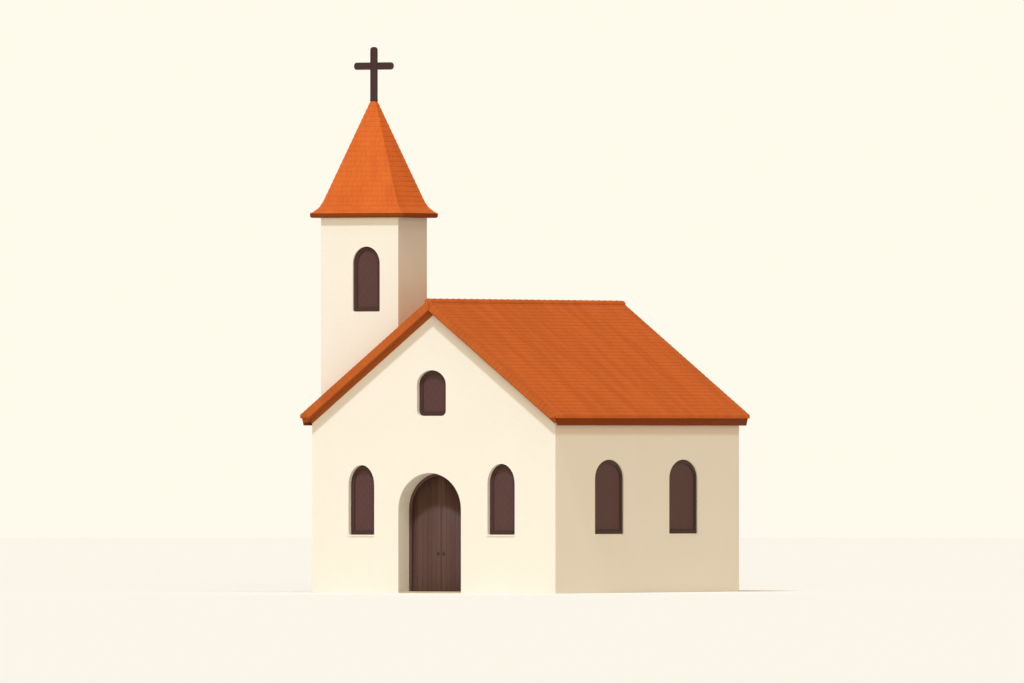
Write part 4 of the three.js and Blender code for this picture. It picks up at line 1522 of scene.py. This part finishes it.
# %% Straps, knuckles and pulls
HINGE_OFFSET, HINGE_Y = 0.964, FRONT_Y + 0.742
HINGE_HEIGHTS = (0.400, 1.350, 2.300)
KNUCKLE_RADIUS, KNUCKLE_WALL, KNUCKLE_LENGTH = 0.016, 0.0062, 0.060
STRAP_LENGTH, STRAP_WIDTH, STRAP_THICKNESS, STRAP_ROUND = 0.700, 0.050, 0.012, 0.020
STRAP_TO_AXIS = 0.010
SUNK = 0.001
NECK_NEAR_X, NECK_FAR_X, NECK_TO_AXIS = 0.0105, 0.0138, 0.006
PULL_OFFSET = 0.090
PLATE_HALF, PLATE_LOW, PLATE_HIGH, PLATE_PROUD = 0.025, 1.110, 1.210, 0.004
RING_RADIUS, RING_WIRE, RING_PROUD, RING_Z = 0.038, 0.005, 0.011, 1.142


def hinge_iron(side, z):
    """A strap on the back of the leaf with the knuckle that sits on the pin."""
    middle_z = z + JOINT + KNUCKLE_LENGTH / 2
    low_z, high_z = middle_z - STRAP_WIDTH / 2, middle_z + STRAP_WIDTH / 2
    pick()
    bpy.ops.mesh.primitive_cylinder_add(
        vertices=24,
        radius=KNUCKLE_RADIUS,
        depth=KNUCKLE_LENGTH,
        end_fill_type="NOTHING",
        location=(HINGE_OFFSET, HINGE_Y, middle_z),
    )
    knuckle = settle(bpy.context.object)
    modify(knuckle, "SOLIDIFY", thickness=KNUCKLE_WALL, offset=-1)
    strap_end_x = HINGE_OFFSET - STRAP_LENGTH
    strap = block(
        "strap",
        (strap_end_x, LEAF_BACK - SUNK, low_z),
        (HINGE_OFFSET - STRAP_TO_AXIS, LEAF_BACK + STRAP_THICKNESS, high_z),
    )
    select_parts(
        strap,
        "EDGE",
        lambda middle, way: middle.x < strap_end_x + 0.01 and abs(way.y) > 0.9,
    )
    bpy.ops.mesh.bevel(offset=STRAP_ROUND, segments=5, affect="EDGES")
    bpy.ops.object.mode_set(mode="OBJECT")
    soften(strap, 0.002, segments=1)
    neck = block(
        "neck",
        (HINGE_OFFSET - NECK_FAR_X, LEAF_BACK - SUNK, low_z),
        (HINGE_OFFSET - NECK_NEAR_X, HINGE_Y - NECK_TO_AXIS, high_z),
    )
    iron_work = join("hinge_iron", [knuckle, strap, neck])
    if side < 0:
        mirrored_here(iron_work)
    return put(iron_work, move=(DOOR_X, 0, 0))


def ring_pull(side):
    """A plate and a hanging ring on the front of the leaf."""
    x = DOOR_X + side * PULL_OFFSET
    plate = block(
        "plate",
        (x - PLATE_HALF, LEAF_FRONT - PLATE_PROUD, PLATE_LOW),
        (x + PLATE_HALF, LEAF_FRONT + SUNK, PLATE_HIGH),
    )
    soften(plate, 0.003)
    pick()
    bpy.ops.mesh.primitive_torus_add(
        major_radius=RING_RADIUS,
        minor_radius=RING_WIRE,
        major_segments=32,
        minor_segments=10,
        location=(x, LEAF_FRONT - RING_PROUD, RING_Z),
        rotation=(math.pi / 2, 0, 0),
    )
    ring = settle(bpy.context.object)
    return join("ring_pull", [plate, ring])


for side, word in ((-1, "left"), (1, "right")):
    leaf = leaf_planks(side)
    leaf.name = "door_leaf_" + word + "_planks"
    dress(leaf, oak, word + "_door", stands_for=["door_leaf_" + word])
    ironwork = [hinge_iron(side, z) for z in HINGE_HEIGHTS] + [ring_pull(side)]
    fittings = join("door_" + word + "_ironwork", ironwork)
    dress(fittings, iron, word + "_door", stands_for=["door_leaf_" + word])
    print(leaf.name, "faces:", len(leaf.data.polygons))

# %% [markdown]
# ## The cross
#
# The cross is iron, welded, ground smooth and painted a dark satin brown. Its solids
# have the right outline, so their meshes are copied, merged and only lose their sharp edges:
# ground welds are never razor-edged, and the small round catches a line of light.

# %% The painted cross
cross_paint = brushed_paint("satin_paint_on_iron", "#432E2B", "#3B2826", 0.45)
for node_name in ("cross_post", "cross_arm"):
    bar = soften(merged_copy(node_name, node_name + "_painted"), 0.006)
    dress(bar, cross_paint, stands_for=[node_name])
    print(bar.name, "faces:", len(bar.data.polygons))
